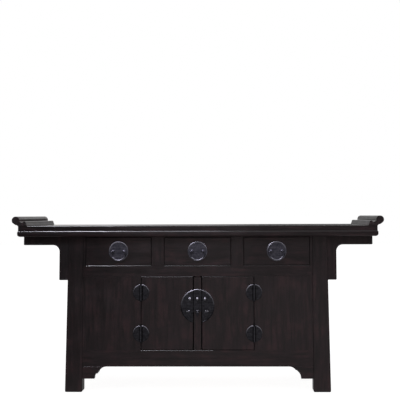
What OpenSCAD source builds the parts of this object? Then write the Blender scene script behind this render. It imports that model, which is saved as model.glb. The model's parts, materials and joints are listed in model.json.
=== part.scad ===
// Altar cabinet with everted flanges, drawers and a cupboard with paired doors.
// Millimetres. X runs left to right, the front faces -Y, Z is up from the floor.
// The origin is on the floor, under the middle of the top.

/* [Top] */
// Length of the top frame between its end faces
top_len = 1776; // [1700:1:1900]
// Depth of the top frame from front fascia to back fascia
top_depth = 444; // [420:1:520]
// Thickness of the top frame
top_t = 25; // [25:0.5:34]
// Width of the rails of the top frame
top_rail_w = 70; // [66:1:90]
// Thickness of the floating panel in the top frame
top_panel_t = 16; // [14:0.5:17]
// How far the floating panel's tongue reaches into the frame
top_tongue_len = 8; // [6:0.5:12]
// Thickness of the floating panel's tongue
top_tongue_t = 8; // [6:0.5:9]
// Width of the transverse braces under the floating panel
brace_w = 46; // [34:1:60]
// Height of the transverse braces
brace_h = 24; // [18:1:30]
// Distance between neighbouring braces
brace_pitch = 500; // [300:1:560]
// Length of the tenon at each end of a brace
brace_tenon_len = 9; // [6:0.5:12]

/* [Edge strips] */
// Height of the moulded strip under the rim of the top
strip_h = 29; // [24:0.5:31]
// Thickness of the strip
strip_t = 20; // [14:0.5:24]
// How far the strip stands out from the fascia above it
strip_proud = 3; // [2:0.5:5]
// Height of the sloping ledge along the strip's upper edge
strip_ledge_h = 6; // [4:0.5:9]
// Radius of the strip's rounded lower edge
strip_round = 13; // [8:0.5:14]

/* [Everted flanges] */
// Height of the flange's roll above the top surface
flange_rise = 47; // [44:0.5:56]
// Radius of the roll along the flange's outer edge
roll_r = 19; // [17:0.5:21]
// How far the roll reaches past the end of the top frame
roll_reach = 32; // [28:0.5:36]
// Width of the flange on the top surface
flange_w = 44; // [38:0.5:50]
// Height of the bead along the flange's inner edge
flange_bead_h = 23; // [20:0.5:26]
// Radius of that bead
flange_bead_r = 7.5; // [6:0.5:8.5]
// Width of the groove between the bead and the roll's neck
flange_groove_w = 7; // [4:0.5:9]
// Depth of that groove
flange_groove_d = 6.5; // [4:0.5:8]
// How far the flange's underside hooks down over the end of the top
flange_lip = 3; // [1:0.5:5]
// Width and depth of the tongue that holds the flange to the top
flange_tongue = 8; // [6:0.5:10]

/* [Legs] */
// Width of a leg at the floor, seen from the front
leg_w = 85; // [76:0.5:100]
// Depth of a leg, seen from the side
leg_d = 50; // [46:0.5:60]
// How far a leg's outer face leans in between the floor and the top
leg_lean = 12; // [0:0.5:26]
// How far the body's front stands back from the edge strip
body_set_back = 32; // [28:0.5:44]

/* [Heights of the front] */
// Clear height under the apron
apron_clear = 125; // [110:1:150]
// Height of the apron
apron_h = 42; // [34:0.5:60]
// Height of the rail under the doors
lower_rail_h = 38; // [34:0.5:50]
// Height of the door opening
door_opening_h = 363; // [320:1:420]
// Height of the rail between doors and drawers
drawer_rail_h = 53; // [48:0.5:64]
// Height of the drawer openings
drawer_opening_h = 141; // [126:1:170]
// Height of the rail above the drawers
header_h = 32; // [30:0.5:44]

/* [Widths of the front] */
// Width of the middle drawer's opening
middle_opening_w = 334; // [300:1:380]
// Width of the outer drawers' openings
outer_opening_w = 329; // [300:1:370]
// Width of the posts between the drawers
divider_w = 62; // [50:0.5:76]
// Width of the fillers between outer drawers and legs
filler_w = 12; // [10:0.5:20]
// Distance between the two doors' hinge pins
door_span = 560; // [500:1:640]
// Width of the centre stile between the doors
stile_w = 39; // [34:0.5:50]

/* [Joinery] */
// Thickness of the rails between the legs
rail_t = 32; // [32:0.5:38]
// Length of the rails' tenons in the legs
rail_tenon_len = 26; // [18:0.5:30]
// Thickness of the rails' tenons
rail_tenon_t = 10; // [8:0.5:12]
// Shoulder above and below a rail's tenon
rail_shoulder = 8; // [7:0.5:9]
// Length of the side rails' tenons in the legs
side_tenon_len = 20; // [12:0.5:24]
// Length of the short tenons on posts and runners
post_tenon_len = 10; // [6:0.5:12]
// Height of the legs' tenons in the top frame
leg_tenon_h = 15; // [10:0.5:18]
// Width of the legs' tenons
leg_tenon_w = 34; // [24:0.5:38]
// Thickness of the legs' tenons
leg_tenon_t = 12; // [8:0.5:14]
// Thickness of the tongue around each body panel
tongue_t = 6; // [5:0.5:7]
// How far the tongue around a body panel reaches into its groove
tongue_len = 6; // [4:0.5:6.5]
// Distance from the body's face to that tongue
tongue_in = 7; // [6:0.5:8]
// Gap left all round between wooden pieces that meet
joint_gap = 0.2; // [0.1:0.05:0.4]

/* [Panels and boards] */
// Thickness of the fixed front panels
front_panel_t = 20; // [18:0.5:22]
// Thickness of the side and back panels
thin_panel_t = 12; // [10:0.5:14]
// How far side and back panels stand back from the frame's face
thin_panel_in = 4; // [2:0.5:5]
// Width of the posts behind the front panels' door edges
jamb_w = 35; // [26:0.5:50]
// Depth of those posts
jamb_d = 24; // [18:0.5:30]
// How far those posts stand back from the front panels' door edges
jamb_in = 9; // [6:0.5:14]
// Thickness of the cupboard floor
floor_t = 14; // [12:0.5:18]
// Thickness of the dust boards under the drawers
dust_board_t = 8; // [6:0.5:10]

/* [Apron] */
// Thickness of the apron
apron_t = 20; // [16:0.5:24]
// How far the apron stands back from the body's face
apron_in = 1; // [0.5:0.5:3]
// Length of the bracket at each end of the apron
bracket_len = 120; // [112:1:150]
// Drop of the bracket below the apron
bracket_drop = 59; // [54:0.5:66]
// Length of the bracket's straight foot
bracket_foot = 60; // [54:0.5:66]
// Radius of the bracket's lower hollow, which starts at the foot
bracket_low_r = 48; // [46:0.5:50]
// Radius of the bracket's upper hollow, which ends along the apron
bracket_high_r = 41; // [38:0.5:44]

/* [Spandrels] */
// Thickness of the hanging spandrels
spandrel_t = 20; // [16:0.5:24]
// How far the spandrels stand back from the body's face
spandrel_in = 2; // [1:0.5:4]
// Height of the arm under the overhang, from its underside to the top frame
arm_h = 71; // [60:0.5:80]
// Width that the drop shows beside the leg, at the drop's lower end
drop_w = 43; // [34:0.5:60]
// Height of the drop below the arm's underside
drop_h = 174; // [140:1:220]
// Radius of the fillet between arm and drop
spandrel_fillet = 33; // [20:0.5:40]
// Radius of the spandrel's two free corners
spandrel_round = 4.5; // [2:0.5:8]
// Gap between the arm's end and the edge strip
arm_end_gap = 2; // [2:0.5:10]
// Thickness of the boards that join front and back arms
end_board_t = 18; // [12:0.5:24]

/* [Drawers] */
// Thickness of the drawer fronts
drawer_front_t = 20; // [18:0.5:24]
// Thickness of the drawer sides
drawer_side_t = 11; // [10:0.5:14]
// Thickness of the drawer backs
drawer_back_t = 10; // [8:0.5:13]
// Thickness of the drawer bottoms
drawer_bottom_t = 8; // [6:0.5:9]
// Outer depth of a drawer, from its face to the ends of its sides
drawer_depth = 338; // [300:1:345]
// How much lower the drawer sides are than the opening
drawer_side_drop = 13; // [8:0.5:25]
// Height of the drawer bottom above the drawer sides' lower edge
drawer_bottom_up = 7; // [6:0.5:12]
// Gap between a drawer front and the posts beside it
drawer_gap = 1; // [0.5:0.1:1.5]
// Gap above a drawer front
drawer_top_gap = 1.5; // [1:0.1:3]
// Gap between the drawers and what they run on
run_gap = 0.3; // [0.2:0.05:0.5]
// Height of the runners under the drawers
runner_h = 34; // [28:0.5:38]
// Width of a runner under one drawer's side
runner_w = 17; // [14:0.5:30]
// Height of the guides beside the drawers
guide_h = 29; // [20:0.5:40]

/* [Doors and centre stile] */
// Thickness of the doors
door_t = 22; // [18:0.5:24]
// Gap between a door and its centre stile
door_stile_gap = 3; // [2.5:0.1:4]
// Gap above and below a door
door_gap = 1.5; // [1:0.1:3]
// Gap from the hinge pin's line to the door and to the fixed panel
door_hinge_gap = 1; // [0.6:0.1:2]
// Height of the battens across the back of a door
batten_h = 30; // [24:0.5:40]
// Thickness of the battens
batten_t = 24; // [18:0.5:28]
// Depth of the battens' housings in the door
batten_in = 6; // [4:0.5:8]
// Distance from a batten's end to the door's edge
batten_end = 17; // [12:0.5:30]
// Distance from the door's upper or lower edge to the nearest batten
batten_set = 50; // [40:1:70]
// Depth of the centre stile
stile_d = 25; // [20:0.5:28]
// Length of the stile's foot tongue in the lower rail
stile_foot = 4; // [3:0.5:5]
// How far the stile lifts to free its foot
stile_lift = 5; // [4:0.5:6]
// Length of the stile's upper tongue when it stands in place
stile_head = 8; // [6:0.5:9]

/* [Hinges] */
// Radius of the round hinge plates
hinge_plate_r = 41; // [34:0.5:44]
// Thickness of all the metal plates
plate_t = 1.5; // [1:0.1:1.5]
// Radius of the hinge barrel
barrel_r = 6.2; // [5.6:0.1:7]
// Radius of the hinge pin
hinge_pin_r = 2.6; // [2:0.1:3.2]
// Radius of the hinge pin's heads
pin_head_r = 4.6; // [3.8:0.1:5.2]
// Height of the hinge pin's heads
pin_head_h = 2; // [1.5:0.1:3]
// Distance from the door opening's upper or lower edge to a hinge's centre
hinge_set = 81; // [60:1:100]

/* [Lock plate] */
// Radius of the round lock plate
lock_r = 84; // [76:0.5:90]
// Height of the lock plate's centre above the lower rail
lock_up = 215; // [190:1:240]
// Width of the raised rim along the lock plate's edge
lock_rim_w = 4; // [3:0.5:6]
// Height of that rim above the plate
lock_rim_h = 1.2; // [0.8:0.1:2]
// Height of the lugs for the lock bar above the plate's centre
lug_up = 38; // [34:0.5:46]
// Distance of the outer lugs from the middle
lug_x = 37.5; // [34:0.5:46]
// Width of a lug
lug_w = 10; // [8:0.5:13]
// Outer radius of a lug
lug_r = 8.5; // [7.5:0.1:10]
// Radius of the hole for the lock bar
lock_bar_r = 4; // [3:0.1:5]
// Distance from the plate to the lock bar's centre line
lock_bar_out = 9; // [8:0.5:12]
// Distance of the outer pulls from the middle
pull_x = 41.5; // [38:0.5:46]
// Distance of the pulls' pins below the plate's centre
pull_down = 21; // [16:0.5:26]
// How far the stile's piece of the plate reaches below the pull's pin
stile_plate_tail = 6; // [5:0.5:12]

/* [Pendant pulls] */
// Width of the pendant pulls on the doors
pull_w = 28; // [24:0.5:32]
// Width of the pendant pull on the stile
small_pull_w = 20; // [17:0.5:24]
// Distance from the pin to the point of a door's pull
pull_len = 38; // [32:0.5:46]
// Distance from the pin to the point of the stile's pull
small_pull_len = 28; // [25:0.5:34]
// Thickness of the pulls
pull_t = 3; // [2.4:0.1:3.2]
// Height of a pull above its pin
pull_top = 8; // [7.5:0.1:8.5]
// Radius of a pull's pin
pull_pin_r = 1.5; // [1.2:0.1:1.6]
// Outer radius of the eye that holds the pin
eye_r = 3.6; // [3.2:0.1:3.8]
// Width of the eye
eye_w = 5; // [4:0.1:6]
// Height of the neck that carries the eye
neck_h = 4.4; // [3.4:0.1:4.6]
// Distance from the plate to a pull's pin
pull_out = 9; // [8.8:0.1:11]

/* [Drawer pulls] */
// Radius of the round plate behind a drawer's bail
drawer_plate_r = 49; // [44:0.5:54]
// Width of the plate's raised rim
drawer_rim_w = 5; // [4:0.5:6]
// Height of the rim above the plate
drawer_rim_h = 2; // [1:0.1:2.5]
// Distance of the bail's posts from the plate's centre
post_x = 27; // [24:0.5:29]
// Radius of a post
post_r = 4.8; // [4.2:0.1:5.2]
// How far a post reaches past the bail's pin
post_end = 4.2; // [3.8:0.1:4.8]
// Radius of the bail's rod
bail_r = 2.9; // [2.4:0.1:3.2]
// Radius of the pins at the bail's ends
bail_pin_r = 2.4; // [2:0.1:2.6]
// Radius of the bail's curve, along the rod's centre
bail_bend_r = 35; // [34:0.5:38]
// Length of the straight legs between the bail's pins and its curve
bail_leg = 9; // [7:0.5:10]
// Gap between the hanging bail and the plate's rim
bail_gap = 0.6; // [0.4:0.1:2]
// Gap between every pin and its hole, on the radius
pin_play = 0.05; // [0.02:0.01:0.1]

/* [Hidden] */
$fn = 64;

// Colours of the finishes
lacquer = "#241c1c";
inner_wood = "#6b4a32";
dark_metal = "#2b2a30";
grey_metal = "#6d6c74";

// Heights of the front's pieces, from the floor up
lower_rail_z = apron_clear + apron_h;
door_low_z = lower_rail_z + lower_rail_h;
drawer_rail_z = door_low_z + door_opening_h;
drawer_low_z = drawer_rail_z + drawer_rail_h;
header_z = drawer_low_z + drawer_opening_h;
under_z = header_z + header_h;
surface_z = under_z + top_t;

// Widths of the front's pieces, from the middle to the right
divider_x = middle_opening_w / 2;
outer_opening_x = divider_x + divider_w;
filler_x = outer_opening_x + outer_opening_w;
leg_x = filler_x + filler_w;
pin_x = door_span / 2;

// Depths
front_y = -(top_depth / 2 + strip_proud - body_set_back);
leg_back_y = front_y + leg_d;
rail_back_y = front_y + rail_t;

// Each rail between front and back legs, and between the legs of one side: lower and upper edge
FRONT_RAILS = [
    [lower_rail_z, door_low_z],
    [drawer_rail_z, drawer_low_z],
    [header_z, under_z - joint_gap]
];
SIDE_RAILS = [
    [apron_clear, door_low_z],
    [drawer_rail_z, drawer_low_z],
    [header_z, under_z - joint_gap]
];

// Overlap that fuses the parts of one solid, and that carries a cutter past a face
over = 1;
// Gap on the mitres, measured along the rails
mitre_gap = joint_gap * 1.5;

// Places of the rails' and posts' tenons, measured in from the body's face
rail_tenon_in = 10;
post_tenon_t = 10;
post_tenon_side = 10;
side_tenon_in = 12;
leg_tenon_in = 14;
leg_tenon_side = 18;
jamb_tenon_t = 7;
jamb_tenon_side = 6;
jamb_tenon_in = 2;
runner_tenon_t = 10;
end_tenon_side = 3;
stile_tongue_side = 7;
stile_tongue_in = 7;
stile_tongue_t = 10;
filler_tongue_in = 3;
front_tongue_in = 10;

// Tenons of the top's end rails and of its braces
frame_tenon_side = 4;
frame_tenon_w = 22;
frame_tenon_in = 20;
frame_tenon_up = 6;
frame_tenon_t = 8;
brace_tenon_down = 1.5;
brace_tenon_t = 5.5;

// Underside of the roll's neck: its start outwards and up from the end of the top, its depth under
// the roll, and the angles from straight down and from straight in at which it meets the roll
neck_start = [6, 4];
neck_down = 4.5;
neck_angles = [30, 12];
// How far the bead's side stands back from the flange's toe
bead_back = 6;

// Ends of the tongues on brackets and spandrels
bracket_tongue_end = 12;
bracket_tongue_leg = 8;
spandrel_tongue_t = 8;
spandrel_tongue_low = 8;
spandrel_tongue_top = 12;

// Height of the cupboard floor below the lower rail's upper edge
floor_down = 1;
// Height of the dust boards above the runners' lower edge, and their depth in the runners
dust_up = 5;
dust_in = 5;

// Drawers: how deep the pieces sit in each other and how far they stand back
front_housing = 8;
bottom_housing = 6;
side_housing = 4;
drawer_side_in = 1;
drawer_back_in = 6;
drawer_back_down = 8;

// Play of the bail's pins along their length, and of the pulls around their eyes
pin_end_gap = 0.5;
pull_side_gap = 0.5;
pull_slot_gap = 1.6;
// Radius of a pull's point, and the taper's half width there as a share of it
pull_tip_r = 2.5;
pull_tip_join = 0.95;

// Outer face of a leg at height z
function outer_x(z) = leg_x + leg_w - leg_lean * z / under_z;

// Box between two values on each axis
module block(x, y, z)
    translate([x[0], y[0], z[0]]) cube([x[1] - x[0], y[1] - y[0], z[1] - z[0]]);

// Outline in X and Z, drawn out from y0 to y1
module along_y(y0, y1)
    translate([0, y1, 0]) rotate([90, 0, 0]) linear_extrude(y1 - y0) children();

// Outline in Y and Z, drawn out from x0 to x1
module along_x(x0, x1)
    translate([x0, 0, 0]) rotate([90, 0, 90]) linear_extrude(x1 - x0) children();

// The piece and its mirror image on the other side
module both_sides() {
    children();
    mirror([1, 0, 0]) children();
}

// The piece and its mirror image at the other face
module front_and_back() {
    children();
    mirror([0, 1, 0]) children();
}

module on_left() mirror([1, 0, 0]) children();
module at_back() mirror([0, 1, 0]) children();

// Range widened by a gap at both ends
function wider(range, gap) = [range[0] - gap, range[1] + gap];

// Top frame and panel

top_x = top_len / 2;
top_y = top_depth / 2;
panel_hole_x = top_x - top_rail_w;
panel_hole_y = top_y - top_rail_w;
panel_low_z = surface_z - top_panel_t;
frame_tenon_x0 = panel_hole_x + top_tongue_len + frame_tenon_side;

module top_tongue(gap)
    block(
        wider([-panel_hole_x - top_tongue_len, panel_hole_x + top_tongue_len], gap),
        wider([-panel_hole_y - top_tongue_len, panel_hole_y + top_tongue_len], gap),
        wider([panel_low_z, panel_low_z + top_tongue_t], gap));

module top_panel() color(lacquer) {
    block([-panel_hole_x + joint_gap, panel_hole_x - joint_gap],
          [-panel_hole_y + joint_gap, panel_hole_y - joint_gap],
          [panel_low_z, surface_z]);
    top_tongue(0);
}

// Tenon that the end rail puts into the long rail at one corner
module frame_tenon(gap)
    block(wider([frame_tenon_x0, frame_tenon_x0 + frame_tenon_w], gap),
          wider([-top_y + frame_tenon_in, -panel_hole_y], gap),
          wider([under_z + frame_tenon_up, under_z + frame_tenon_up + frame_tenon_t], gap));

brace_top_z = panel_low_z - joint_gap;
module brace_tenon(gap)
    for (i = [-1 : 1])
        block(wider([i * brace_pitch - brace_w / 4, i * brace_pitch + brace_w / 4], gap),
              [-panel_hole_y - brace_tenon_len - gap, -panel_hole_y + brace_tenon_len],
              wider([brace_top_z - brace_tenon_down - brace_tenon_t, brace_top_z - brace_tenon_down],
                    gap));

module leg_tenon(gap)
    block(wider([leg_x + leg_tenon_side, leg_x + leg_tenon_side + leg_tenon_w], gap),
          wider([front_y + leg_tenon_in, front_y + leg_tenon_in + leg_tenon_t], gap),
          [under_z - over, under_z + leg_tenon_h + gap]);

module long_top_rail() color(lacquer)
    difference() {
        translate([0, 0, under_z]) linear_extrude(top_t)
            polygon([[-top_x, -top_y], [top_x, -top_y],
                     [panel_hole_x, -panel_hole_y], [-panel_hole_x, -panel_hole_y]]);
        top_tongue(joint_gap);
        brace_tenon(joint_gap);
        both_sides() {
            frame_tenon(joint_gap);
            leg_tenon(joint_gap);
        }
    }

module top_rail_front() long_top_rail();
module top_rail_back() at_back() long_top_rail();

// Tongue under the flange, and its groove in the end rail
module flange_tongue_bar(gap)
    block(wider([top_x - (flange_w + flange_tongue) / 2, top_x - (flange_w - flange_tongue) / 2], gap),
          wider([-panel_hole_y, panel_hole_y], gap),
          [surface_z - flange_tongue - gap, surface_z + over]);

module end_top_rail()
    difference() {
        union() {
            translate([0, 0, under_z]) linear_extrude(top_t)
                polygon([[top_x, -top_y + mitre_gap], [top_x, top_y - mitre_gap],
                         [panel_hole_x, panel_hole_y - mitre_gap],
                         [panel_hole_x, -panel_hole_y + mitre_gap]]);
            front_and_back() frame_tenon(0);
        }
        top_tongue(joint_gap);
        flange_tongue_bar(joint_gap);
    }

module top_rail_ends() color(lacquer) both_sides() end_top_rail();

module top_braces() color(inner_wood) {
    for (i = [-1 : 1])
        block([i * brace_pitch - brace_w / 2, i * brace_pitch + brace_w / 2],
              [-panel_hole_y + joint_gap, panel_hole_y - joint_gap],
              [brace_top_z - brace_h, brace_top_z]);
    front_and_back() brace_tenon(0);
}

// Everted flanges

roll_x = top_x + roll_reach - roll_r;
roll_z = surface_z + flange_rise - roll_r;
flange_low_z = surface_z + joint_gap;
toe_x = top_x - flange_w;
bead_x = toe_x + bead_back + flange_bead_r;
bead_z = surface_z + flange_bead_h - flange_bead_r;
groove_z = surface_z + flange_bead_h - flange_groove_d;

module flange_outline() {
    translate([roll_x, roll_z]) circle(roll_r);
    translate([bead_x, bead_z]) circle(flange_bead_r);
    polygon([[toe_x, flange_low_z], [top_x + joint_gap, flange_low_z],
             [top_x + joint_gap, flange_low_z - flange_lip],
             [top_x + neck_start[0], surface_z + neck_start[1]],
             [roll_x, roll_z - roll_r - neck_down],
             [roll_x + roll_r * sin(neck_angles[0]), roll_z - roll_r * cos(neck_angles[0])],
             [roll_x, roll_z],
             [roll_x - roll_r * cos(neck_angles[1]), roll_z - roll_r * sin(neck_angles[1])],
             [bead_x + flange_bead_r + flange_groove_w, groove_z], [bead_x, groove_z],
             [bead_x - flange_bead_r, bead_z]]);
}

module flange_right() color(lacquer) {
    along_y(-top_y, top_y) flange_outline();
    flange_tongue_bar(0);
}

module flange_left() on_left() flange_right();

// Edge strips under the rim of the top

strip_low_z = under_z - strip_h;
strip_y = top_y + strip_proud;
strip_x = top_x + strip_proud;

// Section of a strip: its outer face on the line a = 0, the strip behind it at positive a
module strip_section() {
    strip_top = under_z - joint_gap;
    difference() {
        polygon([[0, strip_low_z], [strip_t, strip_low_z], [strip_t, strip_top],
                 [strip_proud, strip_top], [0, strip_top - strip_ledge_h]]);
        translate([0, strip_low_z]) difference() {
            translate([-over, -over]) square(strip_round + over);
            translate([strip_round, strip_round]) circle(strip_round);
        }
    }
}

// Plan of the front strip and of a side strip, with mitred corners
module strip_plan(half_len, half_width)
    translate([0, 0, strip_low_z - over]) linear_extrude(strip_h + 2 * over)
        polygon([[-half_len, -half_width], [half_len, -half_width],
                 [half_len - strip_t, -half_width + strip_t],
                 [-half_len + strip_t, -half_width + strip_t]]);

module long_strip()
    intersection() {
        along_x(-strip_x, strip_x) translate([-strip_y, 0]) strip_section();
        strip_plan(strip_x, strip_y);
    }

module side_strip()
    intersection() {
        along_y(-strip_y, strip_y) translate([strip_x, 0]) mirror([1, 0]) strip_section();
        rotate([0, 0, 90]) strip_plan(strip_y - mitre_gap, strip_x);
    }

module edge_strips() color(lacquer) {
    front_and_back() long_strip();
    both_sides() side_strip();
}

// Frame of the body

// Sloping slab along a leg's outer face, from depth in0 to in1 behind that face
module side_slab_outline(z, in0, in1)
    polygon([[outer_x(z[0]) - in1, z[0]], [outer_x(z[0]) - in0, z[0]],
             [outer_x(z[1]) - in0, z[1]], [outer_x(z[1]) - in1, z[1]]]);

// Tenon of one rail between two legs of the front or the back
module rail_tenon(rail, gap)
    block([leg_x - over, leg_x + rail_tenon_len + gap],
          wider([front_y + rail_tenon_in, front_y + rail_tenon_in + rail_tenon_t], gap),
          wider([rail[0] + rail_shoulder, rail[1] - rail_shoulder], gap));

// Tenon of one side rail in the leg in front of it
module side_tenon(rail, gap)
    along_y(leg_back_y - side_tenon_len - gap, leg_back_y + over)
        side_slab_outline(wider([rail[0] + rail_shoulder, rail[1] - rail_shoulder], gap),
                          side_tenon_in - gap, side_tenon_in + rail_tenon_t + gap);

// Tongue along the upright edges of front and back panels
module leg_groove()
    block([leg_x - over, leg_x + tongue_len + joint_gap],
          wider([front_y + tongue_in, front_y + tongue_in + tongue_t], joint_gap),
          wider([door_low_z, header_z], tongue_len + joint_gap));

module side_panel_groove()
    along_y(leg_back_y - tongue_len - joint_gap, leg_back_y + over)
        side_slab_outline(wider([door_low_z, header_z], tongue_len + joint_gap),
                          tongue_in - joint_gap, tongue_in + tongue_t + joint_gap);

module leg() color(lacquer)
    difference() {
        union() {
            along_y(front_y, leg_back_y)
                side_slab_to_inner_face([0, under_z - joint_gap]);
            leg_tenon(0);
        }
        for (rail = FRONT_RAILS) rail_tenon(rail, joint_gap);
        for (rail = SIDE_RAILS) side_tenon(rail, joint_gap);
        leg_groove();
        side_panel_groove();
        spandrel_tongue(joint_gap);
    }

// Outline of a leg between its upright inner face and its leaning outer face
module side_slab_to_inner_face(z)
    polygon([[leg_x, z[0]], [outer_x(z[0]), z[0]], [outer_x(z[1]), z[1]], [leg_x, z[1]]]);

module leg_front_right() leg();
module leg_front_left() on_left() leg();
module leg_back_right() at_back() leg();
module leg_back_left() at_back() on_left() leg();

// Bar of a rail with its two tenons
module rail_bar(rail) {
    block([-leg_x + joint_gap, leg_x - joint_gap], [front_y, rail_back_y], rail);
    both_sides() rail_tenon(rail, 0);
}

// Groove in a rail's edge for the panel tongues between x0 and x1
module panel_groove(x, z)
    block(x, wider([front_y + tongue_in, front_y + tongue_in + tongue_t], joint_gap), z);

function groove_below(z) = [z - over, z + tongue_len + joint_gap];
function groove_above(z) = [z - tongue_len - joint_gap, z + over];

// Tenons at both ends of a drawer divider
module divider_tenons(gap)
    block(wider([divider_x + post_tenon_side, divider_x + divider_w - post_tenon_side], gap),
          wider([front_y + rail_tenon_in, front_y + rail_tenon_in + post_tenon_t], gap),
          wider([drawer_low_z - post_tenon_len, header_z + post_tenon_len], gap));

// Tenons at both ends of a post behind a front panel's door edge
jamb_x = pin_x + door_hinge_gap + jamb_in;
jamb_y = front_y + front_panel_t + joint_gap;
module jamb_tenons(gap)
    block(wider([jamb_x + jamb_tenon_side, jamb_x + jamb_w - jamb_tenon_side], gap),
          wider([rail_back_y - jamb_tenon_in - jamb_tenon_t, rail_back_y - jamb_tenon_in], gap),
          wider([door_low_z - post_tenon_len, drawer_rail_z + post_tenon_len], gap));

// Stile's tongues at both ends, with the room that it needs to lift
stile_tongue_x = stile_w / 2 - stile_tongue_side;
stile_tongue_y = [front_y + stile_tongue_in, front_y + stile_tongue_in + stile_tongue_t];
stile_top_z = drawer_rail_z - stile_lift - 2 * run_gap;
module stile_foot_tongue(gap)
    block(wider([-stile_tongue_x, stile_tongue_x], gap), wider(stile_tongue_y, gap),
          [door_low_z - stile_foot - gap, door_low_z + over]);
module stile_head_tongue(gap, lift)
    block(wider([-stile_tongue_x, stile_tongue_x], gap), wider(stile_tongue_y, gap),
          [stile_top_z - over, drawer_rail_z + stile_head + lift + gap]);

// Tenons of the drawer runners in the front rail
runner_tenon_z = [drawer_low_z - (runner_h + runner_tenon_t) / 2,
                  drawer_low_z - (runner_h - runner_tenon_t) / 2];
module runner_tenons(gap)
    both_sides() {
        block(wider([divider_x, divider_x + divider_w], gap - post_tenon_side),
              [rail_back_y - post_tenon_len - gap, rail_back_y + over],
              wider(runner_tenon_z, gap));
        block(wider([filler_x - runner_w, filler_x + filler_w], gap - end_tenon_side),
              [rail_back_y - post_tenon_len - gap, rail_back_y + over],
              wider(runner_tenon_z, gap));
    }

// Tongue along the cupboard floor's front edge
floor_z = [door_low_z - floor_down - floor_t, door_low_z - floor_down];
floor_tongue_z = [floor_z[0] + (floor_t - tongue_t) / 2, floor_z[0] + (floor_t + tongue_t) / 2];
module floor_tongue(gap)
    block(wider([-leg_x + joint_gap, leg_x - joint_gap], gap),
          [rail_back_y - tongue_len - gap, rail_back_y + over],
          wider(floor_tongue_z, gap));

// Tongue along the apron's upper edge
module apron_tongue(gap)
    block(wider([-leg_x + joint_gap, leg_x - joint_gap], gap),
          wider([front_y + tongue_in, front_y + tongue_in + tongue_t], gap),
          [lower_rail_z - over, lower_rail_z + tongue_len + gap]);

front_panel_x = [pin_x + door_hinge_gap, leg_x - joint_gap];
front_tongue_x = [front_panel_x[0] + front_tongue_in, leg_x + tongue_len];
front_panel_z = [door_low_z + joint_gap, drawer_rail_z - joint_gap];

module header_rails() color(lacquer) {
    difference() {
        rail_bar(FRONT_RAILS[2]);
        both_sides() divider_tenons(joint_gap);
    }
    at_back() difference() {
        rail_bar(FRONT_RAILS[2]);
        panel_groove([-leg_x, leg_x], groove_below(header_z));
    }
}

module drawer_rail() color(lacquer)
    difference() {
        rail_bar(FRONT_RAILS[1]);
        both_sides() {
            divider_tenons(joint_gap);
            jamb_tenons(joint_gap);
            panel_groove([front_tongue_x[0] - joint_gap, leg_x], groove_below(drawer_rail_z));
        }
        stile_head_tongue(run_gap, stile_lift + run_gap);
        runner_tenons(joint_gap);
    }

module lower_rail() color(lacquer)
    difference() {
        rail_bar(FRONT_RAILS[0]);
        both_sides() {
            jamb_tenons(joint_gap);
            panel_groove([front_tongue_x[0] - joint_gap, leg_x], groove_above(door_low_z));
        }
        stile_foot_tongue(run_gap);
        floor_tongue(joint_gap);
        apron_tongue(joint_gap);
    }

module back_rails() color(lacquer) at_back() {
    difference() {
        rail_bar(FRONT_RAILS[1]);
        panel_groove([-leg_x, leg_x], groove_below(drawer_rail_z));
        panel_groove([-leg_x, leg_x], groove_above(drawer_low_z));
        runner_tenons(joint_gap);
    }
    difference() {
        rail_bar(FRONT_RAILS[0]);
        panel_groove([-leg_x, leg_x], groove_above(door_low_z));
        floor_tongue(joint_gap);
    }
}

// Side rails lean with the legs' outer faces
module side_rails() color(lacquer)
    both_sides() difference() {
        union() {
            for (rail = SIDE_RAILS) {
                along_y(leg_back_y + joint_gap, -leg_back_y - joint_gap)
                    side_slab_outline(rail, 0, rail_t);
                front_and_back() side_tenon(rail, 0);
            }
        }
        for (z = [[door_low_z - tongue_len, drawer_rail_z + tongue_len],
                  [drawer_low_z - tongue_len, header_z + tongue_len]])
            along_y(leg_back_y - over, -leg_back_y + over)
                side_slab_outline(wider(z, joint_gap), tongue_in - joint_gap,
                                  tongue_in + tongue_t + joint_gap);
    }

// Posts of the front frame: dividers between drawers, fillers beside the legs, door jambs
module front_posts() color(lacquer)
    both_sides() {
        post_z = [drawer_low_z + joint_gap, header_z - joint_gap];
        block([divider_x, divider_x + divider_w], [front_y, rail_back_y], post_z);
        divider_tenons(0);
        block([filler_x, leg_x - joint_gap], [front_y, rail_back_y], post_z);
        block([filler_x + filler_tongue_in, leg_x + tongue_len],
              [front_y + tongue_in, front_y + tongue_in + tongue_t], post_z);
        block([jamb_x, jamb_x + jamb_w], [jamb_y, jamb_y + jamb_d],
              [door_low_z + joint_gap, drawer_rail_z - joint_gap]);
        jamb_tenons(0);
    }

module front_panel_right() color(lacquer) {
    block(front_panel_x, [front_y, front_y + front_panel_t], front_panel_z);
    block(front_tongue_x, [front_y + tongue_in, front_y + tongue_in + tongue_t],
          wider(front_panel_z, tongue_len));
}

module front_panel_left() on_left() front_panel_right();

// Panel of the back between two rails
module back_panel(z0, z1) {
    z = [z0 + joint_gap, z1 - joint_gap];
    x = [-leg_x + joint_gap, leg_x - joint_gap];
    at_back() {
        block(x, [front_y + thin_panel_in, front_y + thin_panel_in + thin_panel_t], z);
        block(wider(x, tongue_len), [front_y + tongue_in, front_y + tongue_in + tongue_t],
              wider(z, tongue_len));
    }
}

module back_panels() color(lacquer) {
    back_panel(door_low_z, drawer_rail_z);
    back_panel(drawer_low_z, header_z);
}

// Panel of a side between two rails, leaning with the legs
module side_panel(z0, z1) {
    z = [z0 + joint_gap, z1 - joint_gap];
    y = [leg_back_y + joint_gap, -leg_back_y - joint_gap];
    along_y(y[0], y[1]) side_slab_outline(z, thin_panel_in, thin_panel_in + thin_panel_t);
    along_y(y[0] - tongue_len, y[1] + tongue_len)
        side_slab_outline(wider(z, tongue_len), tongue_in, tongue_in + tongue_t);
}

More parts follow.
